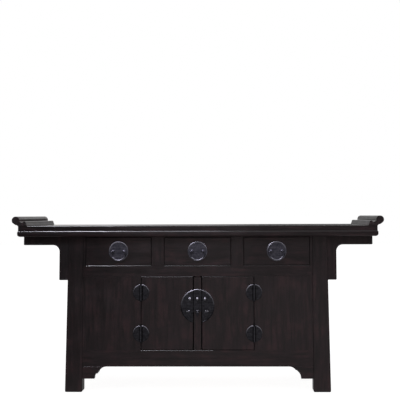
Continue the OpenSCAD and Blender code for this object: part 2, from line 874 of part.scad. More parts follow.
module side_panels() color(lacquer)
    both_sides() {
        side_panel(door_low_z, drawer_rail_z);
        side_panel(drawer_low_z, header_z);
    }

// Apron with a shaped bracket at each end

apron_y = [front_y + apron_in, front_y + apron_in + apron_t];

// Groove in the apron's lower edge and the bracket's tongue in it
module bracket_tongue(gap)
    block(wider([leg_x - bracket_len + bracket_tongue_end, leg_x - bracket_tongue_leg], gap),
          wider([apron_y[0] + (apron_t - tongue_t) / 2, apron_y[0] + (apron_t + tongue_t) / 2], gap),
          [apron_clear - over, apron_clear + tongue_len + gap]);

module front_apron() color(lacquer)
    difference() {
        union() {
            block([-leg_x + joint_gap, leg_x - joint_gap], apron_y,
                  [apron_clear, lower_rail_z - joint_gap]);
            apron_tongue(0);
        }
        both_sides() bracket_tongue(joint_gap);
    }

// Right bracket: a straight foot, then two hollows up to the apron's straight edge
module bracket_outline() {
    low_z = apron_clear - bracket_drop;
    difference() {
        translate([leg_x - bracket_len, low_z])
            square([bracket_len - joint_gap, bracket_drop - joint_gap]);
        translate([leg_x - bracket_foot - bracket_low_r, low_z]) circle(bracket_low_r);
        translate([leg_x - bracket_len, apron_clear - bracket_high_r]) circle(bracket_high_r);
    }
}

module apron_brackets() color(lacquer)
    both_sides() {
        along_y(apron_y[0], apron_y[1]) bracket_outline();
        bracket_tongue(0);
    }

// Boards inside the body

module cupboard_floor() {
    side_x = outer_x(door_low_z) - rail_t - joint_gap;
    block([-leg_x + joint_gap, leg_x - joint_gap],
          wider([rail_back_y, -rail_back_y], -joint_gap), floor_z);
    block([-side_x, side_x], wider([leg_back_y, -leg_back_y], -joint_gap), floor_z);
    difference() {
        front_and_back() floor_tongue(0);
        both_sides() jamb_tenons(joint_gap);
    }
}

// Groove for the dust boards' edges, and the boards between the runners
dust_z = [drawer_low_z - runner_h + dust_up, drawer_low_z - runner_h + dust_up + dust_board_t];
middle_runner_x = [divider_x - runner_w, divider_x + divider_w + runner_w];
end_runner_x = filler_x - runner_w;

module dust_boards(gap) {
    y = [rail_back_y + joint_gap, -rail_back_y - joint_gap];
    block(wider([-middle_runner_x[0] - dust_in, middle_runner_x[0] + dust_in], gap),
          wider(y, gap), wider(dust_z, gap));
    both_sides()
        block(wider([middle_runner_x[1] - dust_in, end_runner_x + dust_in], gap),
              wider(y, gap), wider(dust_z, gap));
}

module inner_boards() color(inner_wood) {
    cupboard_floor();
    dust_boards(0);
}

// Runners under the drawers: one under each divider, one along each leg
module drawer_runners() color(inner_wood)
    difference() {
        union() {
            y = [rail_back_y + joint_gap, -rail_back_y - joint_gap];
            z = [drawer_low_z - runner_h, drawer_low_z];
            both_sides() {
                block(middle_runner_x, y, z);
                block([end_runner_x, leg_x - joint_gap], y, z);
                block([end_runner_x, outer_x(drawer_low_z) - rail_t - joint_gap],
                      wider([leg_back_y, -leg_back_y], -joint_gap), z);
            }
            front_and_back() runner_tenons(0);
        }
        dust_boards(joint_gap);
    }

// Guides that keep the drawers straight
module drawer_guides() color(inner_wood)
    both_sides() {
        y = [rail_back_y + joint_gap, -rail_back_y - joint_gap];
        z = [drawer_low_z + joint_gap, drawer_low_z + joint_gap + guide_h];
        block([divider_x, divider_x + divider_w], y, z);
        block([filler_x, leg_x - joint_gap], y, z);
    }

// Hanging spandrels under the overhang

arm_low_z = under_z - arm_h;
drop_low_z = arm_low_z - drop_h;
drop_x = outer_x(drop_low_z) + drop_w;
arm_x = strip_x - strip_t - arm_end_gap;
spandrel_y = [front_y + spandrel_in, front_y + spandrel_in + spandrel_t];

// Square corner with one rounded point, as a cutter; the point lies at the origin
module corner_cut(r)
    difference() {
        translate([-r, -over]) square(r + over);
        translate([-r, r]) circle(r);
    }

module spandrel_outline() {
    top_z = under_z - joint_gap;
    difference() {
        polygon([[outer_x(drop_low_z) + joint_gap, drop_low_z], [drop_x, drop_low_z],
                 [drop_x, arm_low_z - spandrel_fillet], [drop_x + spandrel_fillet, arm_low_z],
                 [arm_x, arm_low_z], [arm_x, top_z], [outer_x(top_z) + joint_gap, top_z]]);
        translate([drop_x, drop_low_z]) corner_cut(spandrel_round);
        translate([arm_x, arm_low_z]) corner_cut(spandrel_round);
        translate([drop_x + spandrel_fillet, arm_low_z - spandrel_fillet])
            circle(spandrel_fillet);
    }
}

// Tongue of a spandrel in its leg
module spandrel_tongue(gap)
    along_y(spandrel_y[0] + (spandrel_t - spandrel_tongue_t) / 2 - gap,
            spandrel_y[0] + (spandrel_t + spandrel_tongue_t) / 2 + gap)
        side_slab_outline(wider([drop_low_z + spandrel_tongue_low, under_z - spandrel_tongue_top], gap),
                          -over, tongue_len + gap);

module spandrel_pair() color(lacquer)
    both_sides() {
        along_y(spandrel_y[0], spandrel_y[1]) spandrel_outline();
        spandrel_tongue(0);
    }

module spandrels_front() spandrel_pair();
module spandrels_back() at_back() spandrel_pair();

module spandrel_end_boards() color(lacquer)
    both_sides()
        block([arm_x - joint_gap - end_board_t, arm_x - joint_gap],
              wider([spandrel_y[1], -spandrel_y[1]], -joint_gap),
              [arm_low_z, under_z - joint_gap]);

// Hinges: round plates split along the pin, with a barrel of three knuckles

hinge_y = front_y - barrel_r - run_gap;
leaf_y = [front_y - joint_gap - plate_t, front_y - joint_gap];
knuckle_h = hinge_plate_r * 2 / 3;
HINGE_Z = [door_low_z + hinge_set, drawer_rail_z - hinge_set];

// Half of the round plate on the side where x is positive
module leaf_plate()
    along_y(leaf_y[0], leaf_y[1]) intersection() {
        circle(hinge_plate_r);
        translate([run_gap, -hinge_plate_r]) square([hinge_plate_r, hinge_plate_r * 2]);
    }

// Cylinder on the pin's line between two heights
module on_pin(r, z0, z1)
    translate([0, hinge_y, z0]) cylinder(r = r, h = z1 - z0);

// Fixed leaf on the right-hand panel: outer knuckles
module fixed_leaf()
    difference() {
        union() {
            leaf_plate();
            on_pin(barrel_r, -hinge_plate_r, -knuckle_h / 2 - run_gap / 2);
            on_pin(barrel_r, knuckle_h / 2 + run_gap / 2, hinge_plate_r);
        }
        on_pin(barrel_r + run_gap, -knuckle_h / 2 - run_gap / 2, knuckle_h / 2 + run_gap / 2);
        on_pin(hinge_pin_r + pin_play, -hinge_plate_r - over, hinge_plate_r + over);
    }

// Door's leaf: middle knuckle, its plate mirrored to the door's side
module door_leaf()
    difference() {
        union() {
            mirror([1, 0, 0]) difference() {
                leaf_plate();
                on_pin(barrel_r + run_gap, -hinge_plate_r - over, -knuckle_h / 2 + run_gap / 2);
                on_pin(barrel_r + run_gap, knuckle_h / 2 - run_gap / 2, hinge_plate_r + over);
            }
            on_pin(barrel_r, -knuckle_h / 2 + run_gap / 2, knuckle_h / 2 - run_gap / 2);
        }
        on_pin(hinge_pin_r + pin_play, -hinge_plate_r - over, hinge_plate_r + over);
    }

module hinge_pin() {
    head_z = hinge_plate_r + joint_gap;
    on_pin(hinge_pin_r, -head_z - pin_head_h, head_z + pin_head_h);
    on_pin(pin_head_r, head_z, head_z + pin_head_h);
    on_pin(pin_head_r, -head_z - pin_head_h, -head_z);
}

module at_hinges()
    for (z = HINGE_Z) translate([pin_x, 0, z]) children();

module hinge_leaves_fixed() color(dark_metal) both_sides() at_hinges() fixed_leaf();
module hinge_pins() color(dark_metal) both_sides() at_hinges() hinge_pin();

// Drawers

// Range of a drawer's opening in X: -1 left, 0 middle, 1 right
function opening_x(place) =
    place == 0 ? [-divider_x, divider_x]
    : place > 0 ? [outer_opening_x, filler_x]
    : [-filler_x, -outer_opening_x];

drawer_box_x_gap = drawer_gap + drawer_side_in;
drawer_low = drawer_low_z + run_gap;
drawer_bottom_z = [drawer_low + drawer_bottom_up, drawer_low + drawer_bottom_up + drawer_bottom_t];
drawer_end_y = front_y + drawer_depth;
drawer_inner_y = front_y + drawer_front_t;
drawer_back_y = [drawer_end_y - drawer_back_in - drawer_back_t, drawer_end_y - drawer_back_in];

// Both sides of a drawer box, widened by a gap
module drawer_sides(place, gap) {
    x = wider(opening_x(place), -drawer_box_x_gap);
    for (side = [[x[0], x[0] + drawer_side_t], [x[1] - drawer_side_t, x[1]]])
        block(wider(side, gap), [drawer_inner_y - front_housing - gap, drawer_end_y],
              wider([drawer_low, header_z - drawer_side_drop], gap));
}

module drawer_bottom(place, gap) {
    x = wider(opening_x(place), side_housing - drawer_box_x_gap - drawer_side_t);
    block(wider(x, gap),
          [drawer_inner_y - bottom_housing - gap, drawer_back_y[1] + gap],
          wider(drawer_bottom_z, gap));
}

module drawer_back(place, gap) {
    x = wider(opening_x(place), side_housing - drawer_box_x_gap - drawer_side_t);
    block(wider(x, gap), wider(drawer_back_y, gap),
          [drawer_bottom_z[1] + joint_gap - gap, header_z - drawer_side_drop - drawer_back_down + gap]);
}

module drawer_front(place) color(lacquer)
    difference() {
        block(wider(opening_x(place), -drawer_gap), [front_y, drawer_inner_y],
              [drawer_low, header_z - drawer_top_gap]);
        drawer_sides(place, joint_gap);
        drawer_bottom(place, joint_gap);
    }

module drawer_box(place) color(inner_wood) {
    difference() {
        drawer_sides(place, 0);
        drawer_bottom(place, joint_gap);
        drawer_back(place, joint_gap);
    }
    drawer_back(place, 0);
}

function pull_centre_x(place) = (opening_x(place)[0] + opening_x(place)[1]) / 2;
pull_centre_z = (drawer_low_z + header_z) / 2;
bail_out = plate_t + drawer_rim_h + bail_gap + bail_r;
bail_y = front_y - joint_gap - bail_out;

module at_pull(place) translate([pull_centre_x(place), 0, pull_centre_z]) children();

// Round plate with its rim and the two posts that hold the bail
module drawer_plate(place) color(grey_metal)
    at_pull(place) difference() {
        union() {
            translate([0, leaf_y[1], 0]) rotate([90, 0, 0]) {
                cylinder(r = drawer_plate_r, h = plate_t);
                rotate_extrude()
                    translate([drawer_plate_r - drawer_rim_w, 0])
                        square([drawer_rim_w, plate_t + drawer_rim_h]);
            }
            both_sides() translate([post_x, leaf_y[1], 0]) rotate([90, 0, 0])
                cylinder(r = post_r, h = bail_out + post_end);
        }
        translate([0, bail_y, 0]) rotate([0, 90, 0])
            cylinder(r = bail_pin_r + pin_play, h = 2 * drawer_plate_r, center = true);
    }

// Bail: a half ring, two straight legs and the pins that turn in the posts
module drawer_bail(place) color(grey_metal)
    at_pull(place) translate([0, bail_y, 0]) {
        translate([0, 0, -bail_leg]) rotate([90, 0, 0]) rotate([0, 0, 180])
            rotate_extrude(angle = 180) translate([bail_bend_r, 0]) circle(bail_r);
        both_sides() {
            translate([bail_bend_r, 0, -bail_leg]) cylinder(r = bail_r, h = bail_leg);
            translate([bail_bend_r, 0, 0]) sphere(bail_r);
            translate([post_x - post_r + pin_end_gap, 0, 0]) rotate([0, 90, 0])
                cylinder(r = bail_pin_r, h = bail_bend_r - post_x + post_r - pin_end_gap);
        }
    }

module drawer_left_front() drawer_front(-1);
module drawer_left_box() drawer_box(-1);
module drawer_left_bottom() color(inner_wood) drawer_bottom(-1, 0);
module drawer_left_plate() drawer_plate(-1);
module drawer_left_bail() drawer_bail(-1);
module drawer_middle_front() drawer_front(0);
module drawer_middle_box() drawer_box(0);
module drawer_middle_bottom() color(inner_wood) drawer_bottom(0, 0);
module drawer_middle_plate() drawer_plate(0);
module drawer_middle_bail() drawer_bail(0);
module drawer_right_front() drawer_front(1);
module drawer_right_box() drawer_box(1);
module drawer_right_bottom() color(inner_wood) drawer_bottom(1, 0);
module drawer_right_plate() drawer_plate(1);
module drawer_right_bail() drawer_bail(1);

// Doors

door_x = [stile_w / 2 + door_stile_gap, pin_x - door_hinge_gap];
door_z = [door_low_z + door_gap, drawer_rail_z - door_gap];
door_back_y = front_y + door_t;

module door_battens(gap)
    for (z = [door_z[0] + batten_set, door_z[1] - batten_set - batten_h])
        block(wider([door_x[0] + batten_end, door_x[1] - batten_end], gap),
              [door_back_y - batten_in - gap, door_back_y - batten_in + batten_t],
              wider([z, z + batten_h], gap));

module door_right_board() color(lacquer)
    difference() {
        block(door_x, [front_y, door_back_y], door_z);
        door_battens(joint_gap);
    }
module door_left_board() on_left() door_right_board();

module door_right_battens() color(inner_wood) door_battens(0);
module door_left_battens() on_left() door_right_battens();

module door_right_leaves() color(dark_metal) at_hinges() door_leaf();
module door_left_leaves() on_left() door_right_leaves();

// Lock plate: a disc split into two door pieces and the stile's piece

lock_z = door_low_z + lock_up;
plate_face_y = leaf_y[0];
lock_bar_y = plate_face_y - lock_bar_out;
pull_y = plate_face_y - pull_out;

// Disc with its raised rim, cut down to an outline in X and Z around its centre
module lock_disc()
    intersection() {
        translate([0, leaf_y[1], 0]) rotate([90, 0, 0]) {
            cylinder(r = lock_r, h = plate_t);
            rotate_extrude()
                translate([lock_r - lock_rim_w, 0]) square([lock_rim_w, plate_t + lock_rim_h]);
        }
        along_y(leaf_y[0] - lock_rim_h - over, leaf_y[1] + over) children();
    }

module lug_solid(x)
    along_x(x - lug_w / 2, x + lug_w / 2) {
        translate([lock_bar_y, lug_up]) circle(lug_r);
        translate([lock_bar_y, lug_up - lug_r]) square([leaf_y[1] - lock_bar_y, 2 * lug_r]);
    }

module eye_solid(x)
    translate([x, pull_y, -pull_down]) {
        rotate([0, 90, 0]) cylinder(r = eye_r, h = eye_w, center = true);
        translate([-eye_w / 2, 0, -neck_h / 2]) cube([eye_w, pull_out + plate_t / 2, neck_h]);
    }

// One piece of the lock plate with its lug and its eye at the given places
module lock_piece(lug, eye) color(dark_metal)
    translate([0, 0, lock_z]) difference() {
        union() {
            lock_disc() children();
            lug_solid(lug);
            eye_solid(eye);
        }
        translate([lug, lock_bar_y, lug_up]) rotate([0, 90, 0])
            cylinder(r = lock_bar_r, h = lug_w + 2 * over, center = true);
        translate([eye, pull_y, -pull_down]) rotate([0, 90, 0])
            cylinder(r = pull_pin_r + pin_play, h = eye_w + 2 * over, center = true);
    }

module door_right_lock_plate()
    lock_piece(lug_x, pull_x)
        translate([door_x[0], -lock_r - over]) square([lock_r, 2 * (lock_r + over)]);
module door_left_lock_plate() on_left() door_right_lock_plate();

module stile_lock_plate()
    lock_piece(0, 0)
        translate([-stile_w / 2, -pull_down - stile_plate_tail])
            square([stile_w, lock_r + pull_down + stile_plate_tail]);

// Pendant pull: an arched top that narrows to a rounded point, on a pin across its slot
module pendant(w, len) color(dark_metal) {
    slot_r = eye_r + pull_slot_gap;
    tip_z = -len + pull_tip_r;
    tip_x = pull_tip_r * pull_tip_join;
    along_y(-pull_t / 2, pull_t / 2) difference() {
        union() {
            translate([0, pull_top - w / 2]) circle(w / 2);
            translate([0, tip_z]) circle(pull_tip_r);
            polygon([[-w / 2, pull_top - w / 2], [w / 2, pull_top - w / 2],
                     [tip_x, tip_z], [-tip_x, tip_z]]);
        }
        translate([-eye_w / 2 - pull_side_gap, -slot_r]) square([eye_w + 2 * pull_side_gap, 2 * slot_r]);
    }
    rotate([0, 90, 0])
        cylinder(r = pull_pin_r, h = eye_w + 2 * (pull_side_gap + over), center = true);
}

module door_right_pull() translate([pull_x, pull_y, lock_z - pull_down]) pendant(pull_w, pull_len);
module door_left_pull() on_left() door_right_pull();
module stile_pull() translate([0, pull_y, lock_z - pull_down]) pendant(small_pull_w, small_pull_len);

// Centre stile, which lifts out of the lower rail
module stile_board() color(lacquer) {
    block([-stile_w / 2, stile_w / 2], [front_y, front_y + stile_d],
          [door_low_z + run_gap, stile_top_z]);
    stile_foot_tongue(0);
    stile_head_tongue(0, 0);
}

top_panel();
top_rail_front();
top_rail_back();
top_rail_ends();
top_braces();
flange_left();
flange_right();
edge_strips();
leg_front_left();
leg_front_right();
leg_back_left();
leg_back_right();
header_rails();
drawer_rail();
lower_rail();
back_rails();
side_rails();
front_posts();
front_panel_left();
front_panel_right();
front_apron();
apron_brackets();
side_panels();
back_panels();
inner_boards();
drawer_runners();
drawer_guides();
spandrels_front();
spandrels_back();
spandrel_end_boards();
hinge_leaves_fixed();
hinge_pins();
drawer_left_front();
drawer_left_box();
drawer_left_bottom();
drawer_left_plate();
drawer_left_bail();
drawer_middle_front();
drawer_middle_box();
drawer_middle_bottom();
drawer_middle_plate();
drawer_middle_bail();
drawer_right_front();
drawer_right_box();
drawer_right_bottom();
drawer_right_plate();
drawer_right_bail();
door_left_board();
door_left_battens();
door_left_leaves();
door_left_lock_plate();
door_left_pull();
door_right_board();
door_right_battens();
door_right_leaves();
door_right_lock_plate();
door_right_pull();
stile_board();
stile_lock_plate();
stile_pull();
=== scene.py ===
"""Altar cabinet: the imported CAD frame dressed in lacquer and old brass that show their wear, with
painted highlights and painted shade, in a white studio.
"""
import json
import math

import bmesh
import bpy
from mathutils import Matrix, Vector


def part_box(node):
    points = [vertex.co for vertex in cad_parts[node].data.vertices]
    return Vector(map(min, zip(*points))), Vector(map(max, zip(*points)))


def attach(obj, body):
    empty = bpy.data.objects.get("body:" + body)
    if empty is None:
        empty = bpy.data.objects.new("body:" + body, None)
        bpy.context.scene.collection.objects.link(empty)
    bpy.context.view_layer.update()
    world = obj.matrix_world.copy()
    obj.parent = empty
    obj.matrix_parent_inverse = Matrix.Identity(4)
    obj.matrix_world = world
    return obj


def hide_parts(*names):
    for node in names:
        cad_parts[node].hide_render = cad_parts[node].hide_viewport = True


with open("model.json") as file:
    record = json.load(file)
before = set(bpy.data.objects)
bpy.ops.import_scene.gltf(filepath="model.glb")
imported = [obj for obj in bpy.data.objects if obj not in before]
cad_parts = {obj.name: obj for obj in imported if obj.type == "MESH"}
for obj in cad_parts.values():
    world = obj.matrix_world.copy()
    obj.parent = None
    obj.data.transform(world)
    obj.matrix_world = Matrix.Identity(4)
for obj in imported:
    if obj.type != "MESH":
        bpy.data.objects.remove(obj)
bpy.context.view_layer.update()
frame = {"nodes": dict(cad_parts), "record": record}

MM = 0.001
X, Y, Z = range(3)
BODY_OF = {
    node: body
    for body, nodes in frame["record"]["behaviour"]["bodies"].items()
    for node in nodes
}
SLOT_OF = {part["node"]: part["material_slot"] for part in frame["record"]["subparts"]}

# Camera of the photograph: place in metres, turns in degrees, lens from its focal length in pixels,
# and how far the picture was cropped off the lens's axis, right and up, in pixels
IMAGE_PIXELS = 400
FOCAL_PIXELS = 584.1
SENSOR_MM = 36.0
CAMERA_PLACE = (0.186, -3.1086, 0.8687)
CAMERA_YAW = 0.732
CAMERA_PITCH = 2.898
CAMERA_ROLL = -0.1835
CROP_PIXELS = (-27.2, -14.17)


def make_camera():
    data = bpy.data.cameras.new("photograph_camera")
    data.sensor_width = SENSOR_MM
    data.lens = FOCAL_PIXELS / IMAGE_PIXELS * SENSOR_MM
    data.shift_x, data.shift_y = [pixels / IMAGE_PIXELS for pixels in CROP_PIXELS]
    camera = bpy.data.objects.new("photograph_camera", data)
    bpy.context.scene.collection.objects.link(camera)
    turn = (
        Matrix.Rotation(math.radians(CAMERA_YAW), 4, "Z")
        @ Matrix.Rotation(math.radians(90 + CAMERA_PITCH), 4, "X")
        @ Matrix.Rotation(math.radians(CAMERA_ROLL), 4, "Z")
    )
    camera.matrix_world = Matrix.Translation(CAMERA_PLACE) @ turn
    bpy.context.scene.camera = camera


# Shader helpers

WHITE = (1, 1, 1, 1)


def colour(code):
    """sRGB hex code as a linear colour with alpha."""
    values = [int(code[i : i + 2], 16) / 255 for i in (1, 3, 5)]
    return [v / 12.92 if v <= 0.04045 else ((v + 0.055) / 1.055) ** 2.4 for v in values] + [1]


def fill(tree, node, inputs):
    """Sets a node's inputs, by place or by name, to values, or links them to sockets."""
    for key, value in inputs.items() if isinstance(inputs, dict) else enumerate(inputs):
        if isinstance(value, bpy.types.NodeSocket):
            tree.links.new(value, node.inputs[key])
        else:
            node.inputs[key].default_value = value


def add(tree, kind, inputs=(), **settings):
    """Adds a shader node with its settings and inputs, and gives its outputs. A MapRange takes a
    value, the ends of its range and those of the new one; a MixRGB takes a share and two colours."""
    node = tree.nodes.new("ShaderNode" + kind)
    for name, value in settings.items():
        setattr(node, name, value)
    fill(tree, node, inputs)
    return node.outputs


def new_material(name):
    material = bpy.data.materials.new(name)
    material.use_nodes = True
    return material, material.node_tree, material.node_tree.nodes["Principled BSDF"]


# Studio: white behind the object but for a dark corner low down at the right; dim where the camera
# stands, dark to both sides of it, and lighter again towards the ceiling

WORLD_DIFFUSE = 0.3
FRONT_MIDDLE = 0.37
BACK_LEFT = 0.6
BACK_RIGHT = 1.3
BACK_CORNER = 0.02
CEILING = 0.55
# Where each part of that world begins or ends, as a range of a direction's X, Y or Z
FRONT_BEGINS_X = (-0.25, -0.11)
FRONT_ENDS_X = (0, 0.16)
BACK_BRIGHTENS_X = (-0.12, 0.2)
CORNER_BEGINS_X = (-0.2, 0.05)
CORNER_ENDS_Z = (0.26, 0.13)
BACK_BEGINS_Y = (-0.5, 0.4)
CEILING_BEGINS_Z = (0.3, 0.6)
FLOOR_GLOW = 0.9
FLOOR_WHITE = "#e6e6e6"
FLOOR_IN_MIRROR = "#505050"
FLOOR_FRONT = 0.24
FLOOR_FRONT_LEFT = 0.036
FLOOR_BRIGHTENS_X = (-1.1, -0.3)
FLOOR_BRIGHTENS_Y = (-0.4, 1.2)
FLOOR_REACH = 14
# Lamps that mirrors see and lamps that light matt surfaces: name, place, aim and size in metres,
# power in watts, and tint
MIRRORED_LAMPS = (
    ("left_softbox", (-1.3, -1.7, 2.75), (-0.6, -0.2, 0.8), (0.9, 0.6), 56, "#f2f1ff"),
    ("left_spill", (-0.75, -1.75, 2.8), (-0.3, -0.2, 0.8), (1.7, 0.6), 27, "#f2f1ff"),
    ("right_softbox", (2.7, -1.6, 3.2), (0.3, -0.2, 0.5), (1.4, 1.0), 22, "#f4f2ff"),
)
MATT_LAMPS = (
    ("right_fill", (0.7, -2.8, 0.5), (0.2, -0.2, 0.4), (1.4, 1.4), 13, "#fff6f4"),
)


def seen_directly(tree, path):
    """1 for a ray from the camera, straight or through something clear, and 0 for every other."""
    return add(
        tree, "Math", (path["Is Camera Ray"], path["Is Transmission Ray"]), operation="MAXIMUM"
    )["Value"]


def make_world():
    world = bpy.data.worlds.new("white_studio")
    bpy.context.scene.world = world
    world.use_nodes = True
    tree = world.node_tree
    tree.nodes.clear()
    path = add(tree, "LightPath")
    way = add(tree, "SeparateXYZ", (add(tree, "TexCoord")["Generated"],))
    begun = add(tree, "MapRange", (way["X"], *FRONT_BEGINS_X))["Result"]
    left_over = add(tree, "MapRange", (way["X"], *FRONT_ENDS_X, FRONT_MIDDLE, 0))["Result"]
    front = add(tree, "Math", (begun, left_over), operation="MULTIPLY")["Value"]
    at_right = add(tree, "MapRange", (way["X"], *CORNER_BEGINS_X))["Result"]
    low_down = add(tree, "MapRange", (way["Z"], *CORNER_ENDS_Z))["Result"]
    corner = add(tree, "Math", (at_right, low_down), operation="MULTIPLY")["Value"]
    wall = add(tree, "MapRange", (way["X"], *BACK_BRIGHTENS_X, BACK_LEFT, BACK_RIGHT))["Result"]
    back = add(tree, "MixRGB", (corner, wall, (BACK_CORNER,) * 3 + (1,)))["Color"]
    behind = add(tree, "MapRange", (way["Y"], *BACK_BEGINS_Y))["Result"]
    around = add(tree, "MixRGB", (behind, front, back))["Color"]
    ceiling = add(tree, "MapRange", (way["Z"], *CEILING_BEGINS_Z, 0, CEILING))["Result"]
    mirrored = add(tree, "MixRGB", (1, around, ceiling), blend_type="LIGHTEN")["Color"]
    diffuse = (WORLD_DIFFUSE,) * 3 + (1,)
    light = add(tree, "MixRGB", (path["Is Glossy Ray"], diffuse, mirrored))["Color"]
    seen = add(tree, "MixRGB", (seen_directly(tree, path), light, WHITE))["Color"]
    add(tree, "OutputWorld", {"Surface": add(tree, "Background", {"Color": seen})["Background"]})


def make_floor():
    """Painted white plywood: it glows to the camera so that only the shadow shows, and in front of
    the object it is as dark in mirrors as the room beyond the lamps."""
    material, tree, surface = new_material("white_studio_floor")
    path = add(tree, "LightPath")
    spot = add(tree, "SeparateXYZ", (add(tree, "TexCoord")["Object"],))
    dimmed = add(
        tree, "MapRange", (spot["X"], *FLOOR_BRIGHTENS_X, FLOOR_FRONT_LEFT, FLOOR_FRONT)
    )["Result"]
    away = add(tree, "MapRange", (spot["Y"], *FLOOR_BRIGHTENS_Y))["Result"]
    mirrored = add(tree, "MixRGB", (away, dimmed, WHITE))["Color"]
    in_mirror = add(tree, "Math", (path["Is Glossy Ray"], mirrored), operation="MULTIPLY")["Value"]
    shown = add(tree, "Math", (seen_directly(tree, path), in_mirror), operation="MAXIMUM")["Value"]
    glow = add(tree, "Math", (shown, FLOOR_GLOW), operation="MULTIPLY")["Value"]
    matt, dark = colour(FLOOR_WHITE), colour(FLOOR_IN_MIRROR)
    dulled = add(tree, "MixRGB", (mirrored, dark, matt))["Color"]
    paint = add(tree, "MixRGB", (path["Is Glossy Ray"], matt, dulled))["Color"]
    fill(tree, surface, {
        "Base Color": paint, "Roughness": 1, "Specular IOR Level": 0, "Emission Color": WHITE,
        "Emission Strength": glow,
    })
    bm = bmesh.new()
    bmesh.ops.create_grid(bm, x_segments=1, y_segments=1, size=FLOOR_REACH)
    mesh = bpy.data.meshes.new("studio_floor")
    bm.to_mesh(mesh)
    bm.free()
    mesh.materials.append(material)
    floor = bpy.data.objects.new("studio_floor", mesh)
    bpy.context.scene.collection.objects.link(floor)


def softbox(name, place, aim, size, power, tint, in_mirrors):
    data = bpy.data.lights.new(name, "AREA")
    data.shape = "RECTANGLE"
    data.size, data.size_y = size
    data.energy = power
    data.color = colour(tint)[:3]
    lamp = bpy.data.objects.new(name, data)
    lamp.location = place
    lamp.rotation_euler = (Vector(aim) - Vector(place)).to_track_quat("-Z", "Y").to_euler()
    lamp.visible_glossy = in_mirrors
    lamp.visible_diffuse = not in_mirrors
    bpy.context.scene.collection.objects.link(lamp)


def make_studio():
    make_world()
    make_floor()
    for lamps, in_mirrors in ((MIRRORED_LAMPS, True), (MATT_LAMPS, False)):
        for lamp in lamps:
            softbox(*lamp, in_mirrors)


# Finishes

# Noises drawn out along a board or a sheet: width and length
GRAIN = (5 * MM, 80 * MM)
STREAK = (17 * MM, 170 * MM)
BRUSHED = (7 * MM, 60 * MM)
# Noises that are as wide as they are long: size, and octaves of detail
THIN_PATCH = (70 * MM, 4)
BRUSH_MARK = (55 * MM, 3)
CHIP = (14 * MM, 4)
PATINA = (9 * MM, 5)
SCUFF = (2.2 * MM, 3)
# Part of its range over which a noise, or a sum of two, passes from one look to the other
SUM_RANGE = (0.8, 1.2)
SATIN_RANGE = (0.7, 1.3)
PATCH_RANGE = (0.44, 0.62)
STREAK_RANGE = (0.42, 0.6)
CHIP_RANGE = (0.35, 0.55)
SCUFF_RANGE = (0.3, 0.55)
ROUGH_RANGE = (0.3, 0.7)
# How much of its rubbing is left where wood is chipped or brass is scuffed
LEFT_IN_CHIPS = 0.7
LEFT_IN_SCUFFS = 0.5
# Rubbing that clears all the painted shade of the upper ends, and all but a little of the relief
END_SHADE_RUBBED_OFF = 0.5
RELIEF_RUBBED_OFF = 0.6
RELIEF_LEFT = 0.02
PLAIN_SHINE = 0.5
# Shine and roughness of faces under painted shade
SHADE_SHINE = 0.2
SHADE_ROUGHNESS = 0.85
# Painted shade that darkens the lacquer at both upper ends below the flanges, the left one more
END_SHADE_LEFT = (-0.32, -0.5)
END_SHADE_RIGHT = (0.2, 0.3)
END_SHADE_AT_RIGHT = 0.45
END_SHADE_RISE = (0.5, 0.62)
END_SHADE_TOP = (0.822, 0.818)
END_SHADE_DARKENS = 0.36
END_SHADE_DULLS = 0.35


def drawn_out(tree, place, axis, width, length):
    """Noise that is stretched along a board."""
    stretch = [1 / width] * 3
    stretch[axis] = 1 / length
    along = add(tree, "Mapping", {"Vector": place, "Scale": stretch})["Vector"]
    return add(
        tree, "TexNoise", {"Vector": along, "Scale": 1, "Detail": 5, "Roughness": 0.62, "Distortion": 0.4}
    )["Fac"]


def speckles(tree, place, *kinds):
    """Noises that are as wide as they are long, each of a size and detail."""
    return [
        add(tree, "TexNoise", {"Vector": place, "Scale": 1 / size, "Detail": detail, "Roughness": 0.6})["Fac"]
        for size, detail in kinds
    ]


def end_shade_at(tree, place):
    """How much painted shade darkens a place at the upper ends, from 0 to 1."""
    spot = add(tree, "SeparateXYZ", (place,))
    left = add(tree, "MapRange", (spot["X"], *END_SHADE_LEFT))["Result"]
    right = add(tree, "MapRange", (spot["X"], *END_SHADE_RIGHT, 0, END_SHADE_AT_RIGHT))["Result"]
    end_shade = add(tree, "Math", (left, right), operation="ADD")["Value"]
    for heights in (END_SHADE_RISE, END_SHADE_TOP):
        share = add(tree, "MapRange", (spot["Z"], *heights))["Result"]
        end_shade = add(tree, "Math", (end_shade, share), operation="MULTIPLY")["Value"]
    return end_shade


def rubbing_and_shade(tree, marks, marked, left_in_marks):
    """How much wear or painted highlight a face has, and how much painted shade: its mark above and below
    0, the first broken up by the marks of a noise."""
    wear_and_painted_light = add(tree, "Attribute", attribute_name="wear_and_painted_light")["Fac"]
    unmarked = add(tree, "MapRange", (marks, *marked, left_in_marks, 1))["Result"]
    return [
        add(tree, "Math", (wear_and_painted_light, factor), operation="MULTIPLY", use_clamp=True)["Value"]
        for factor in (unmarked, -1)
    ]


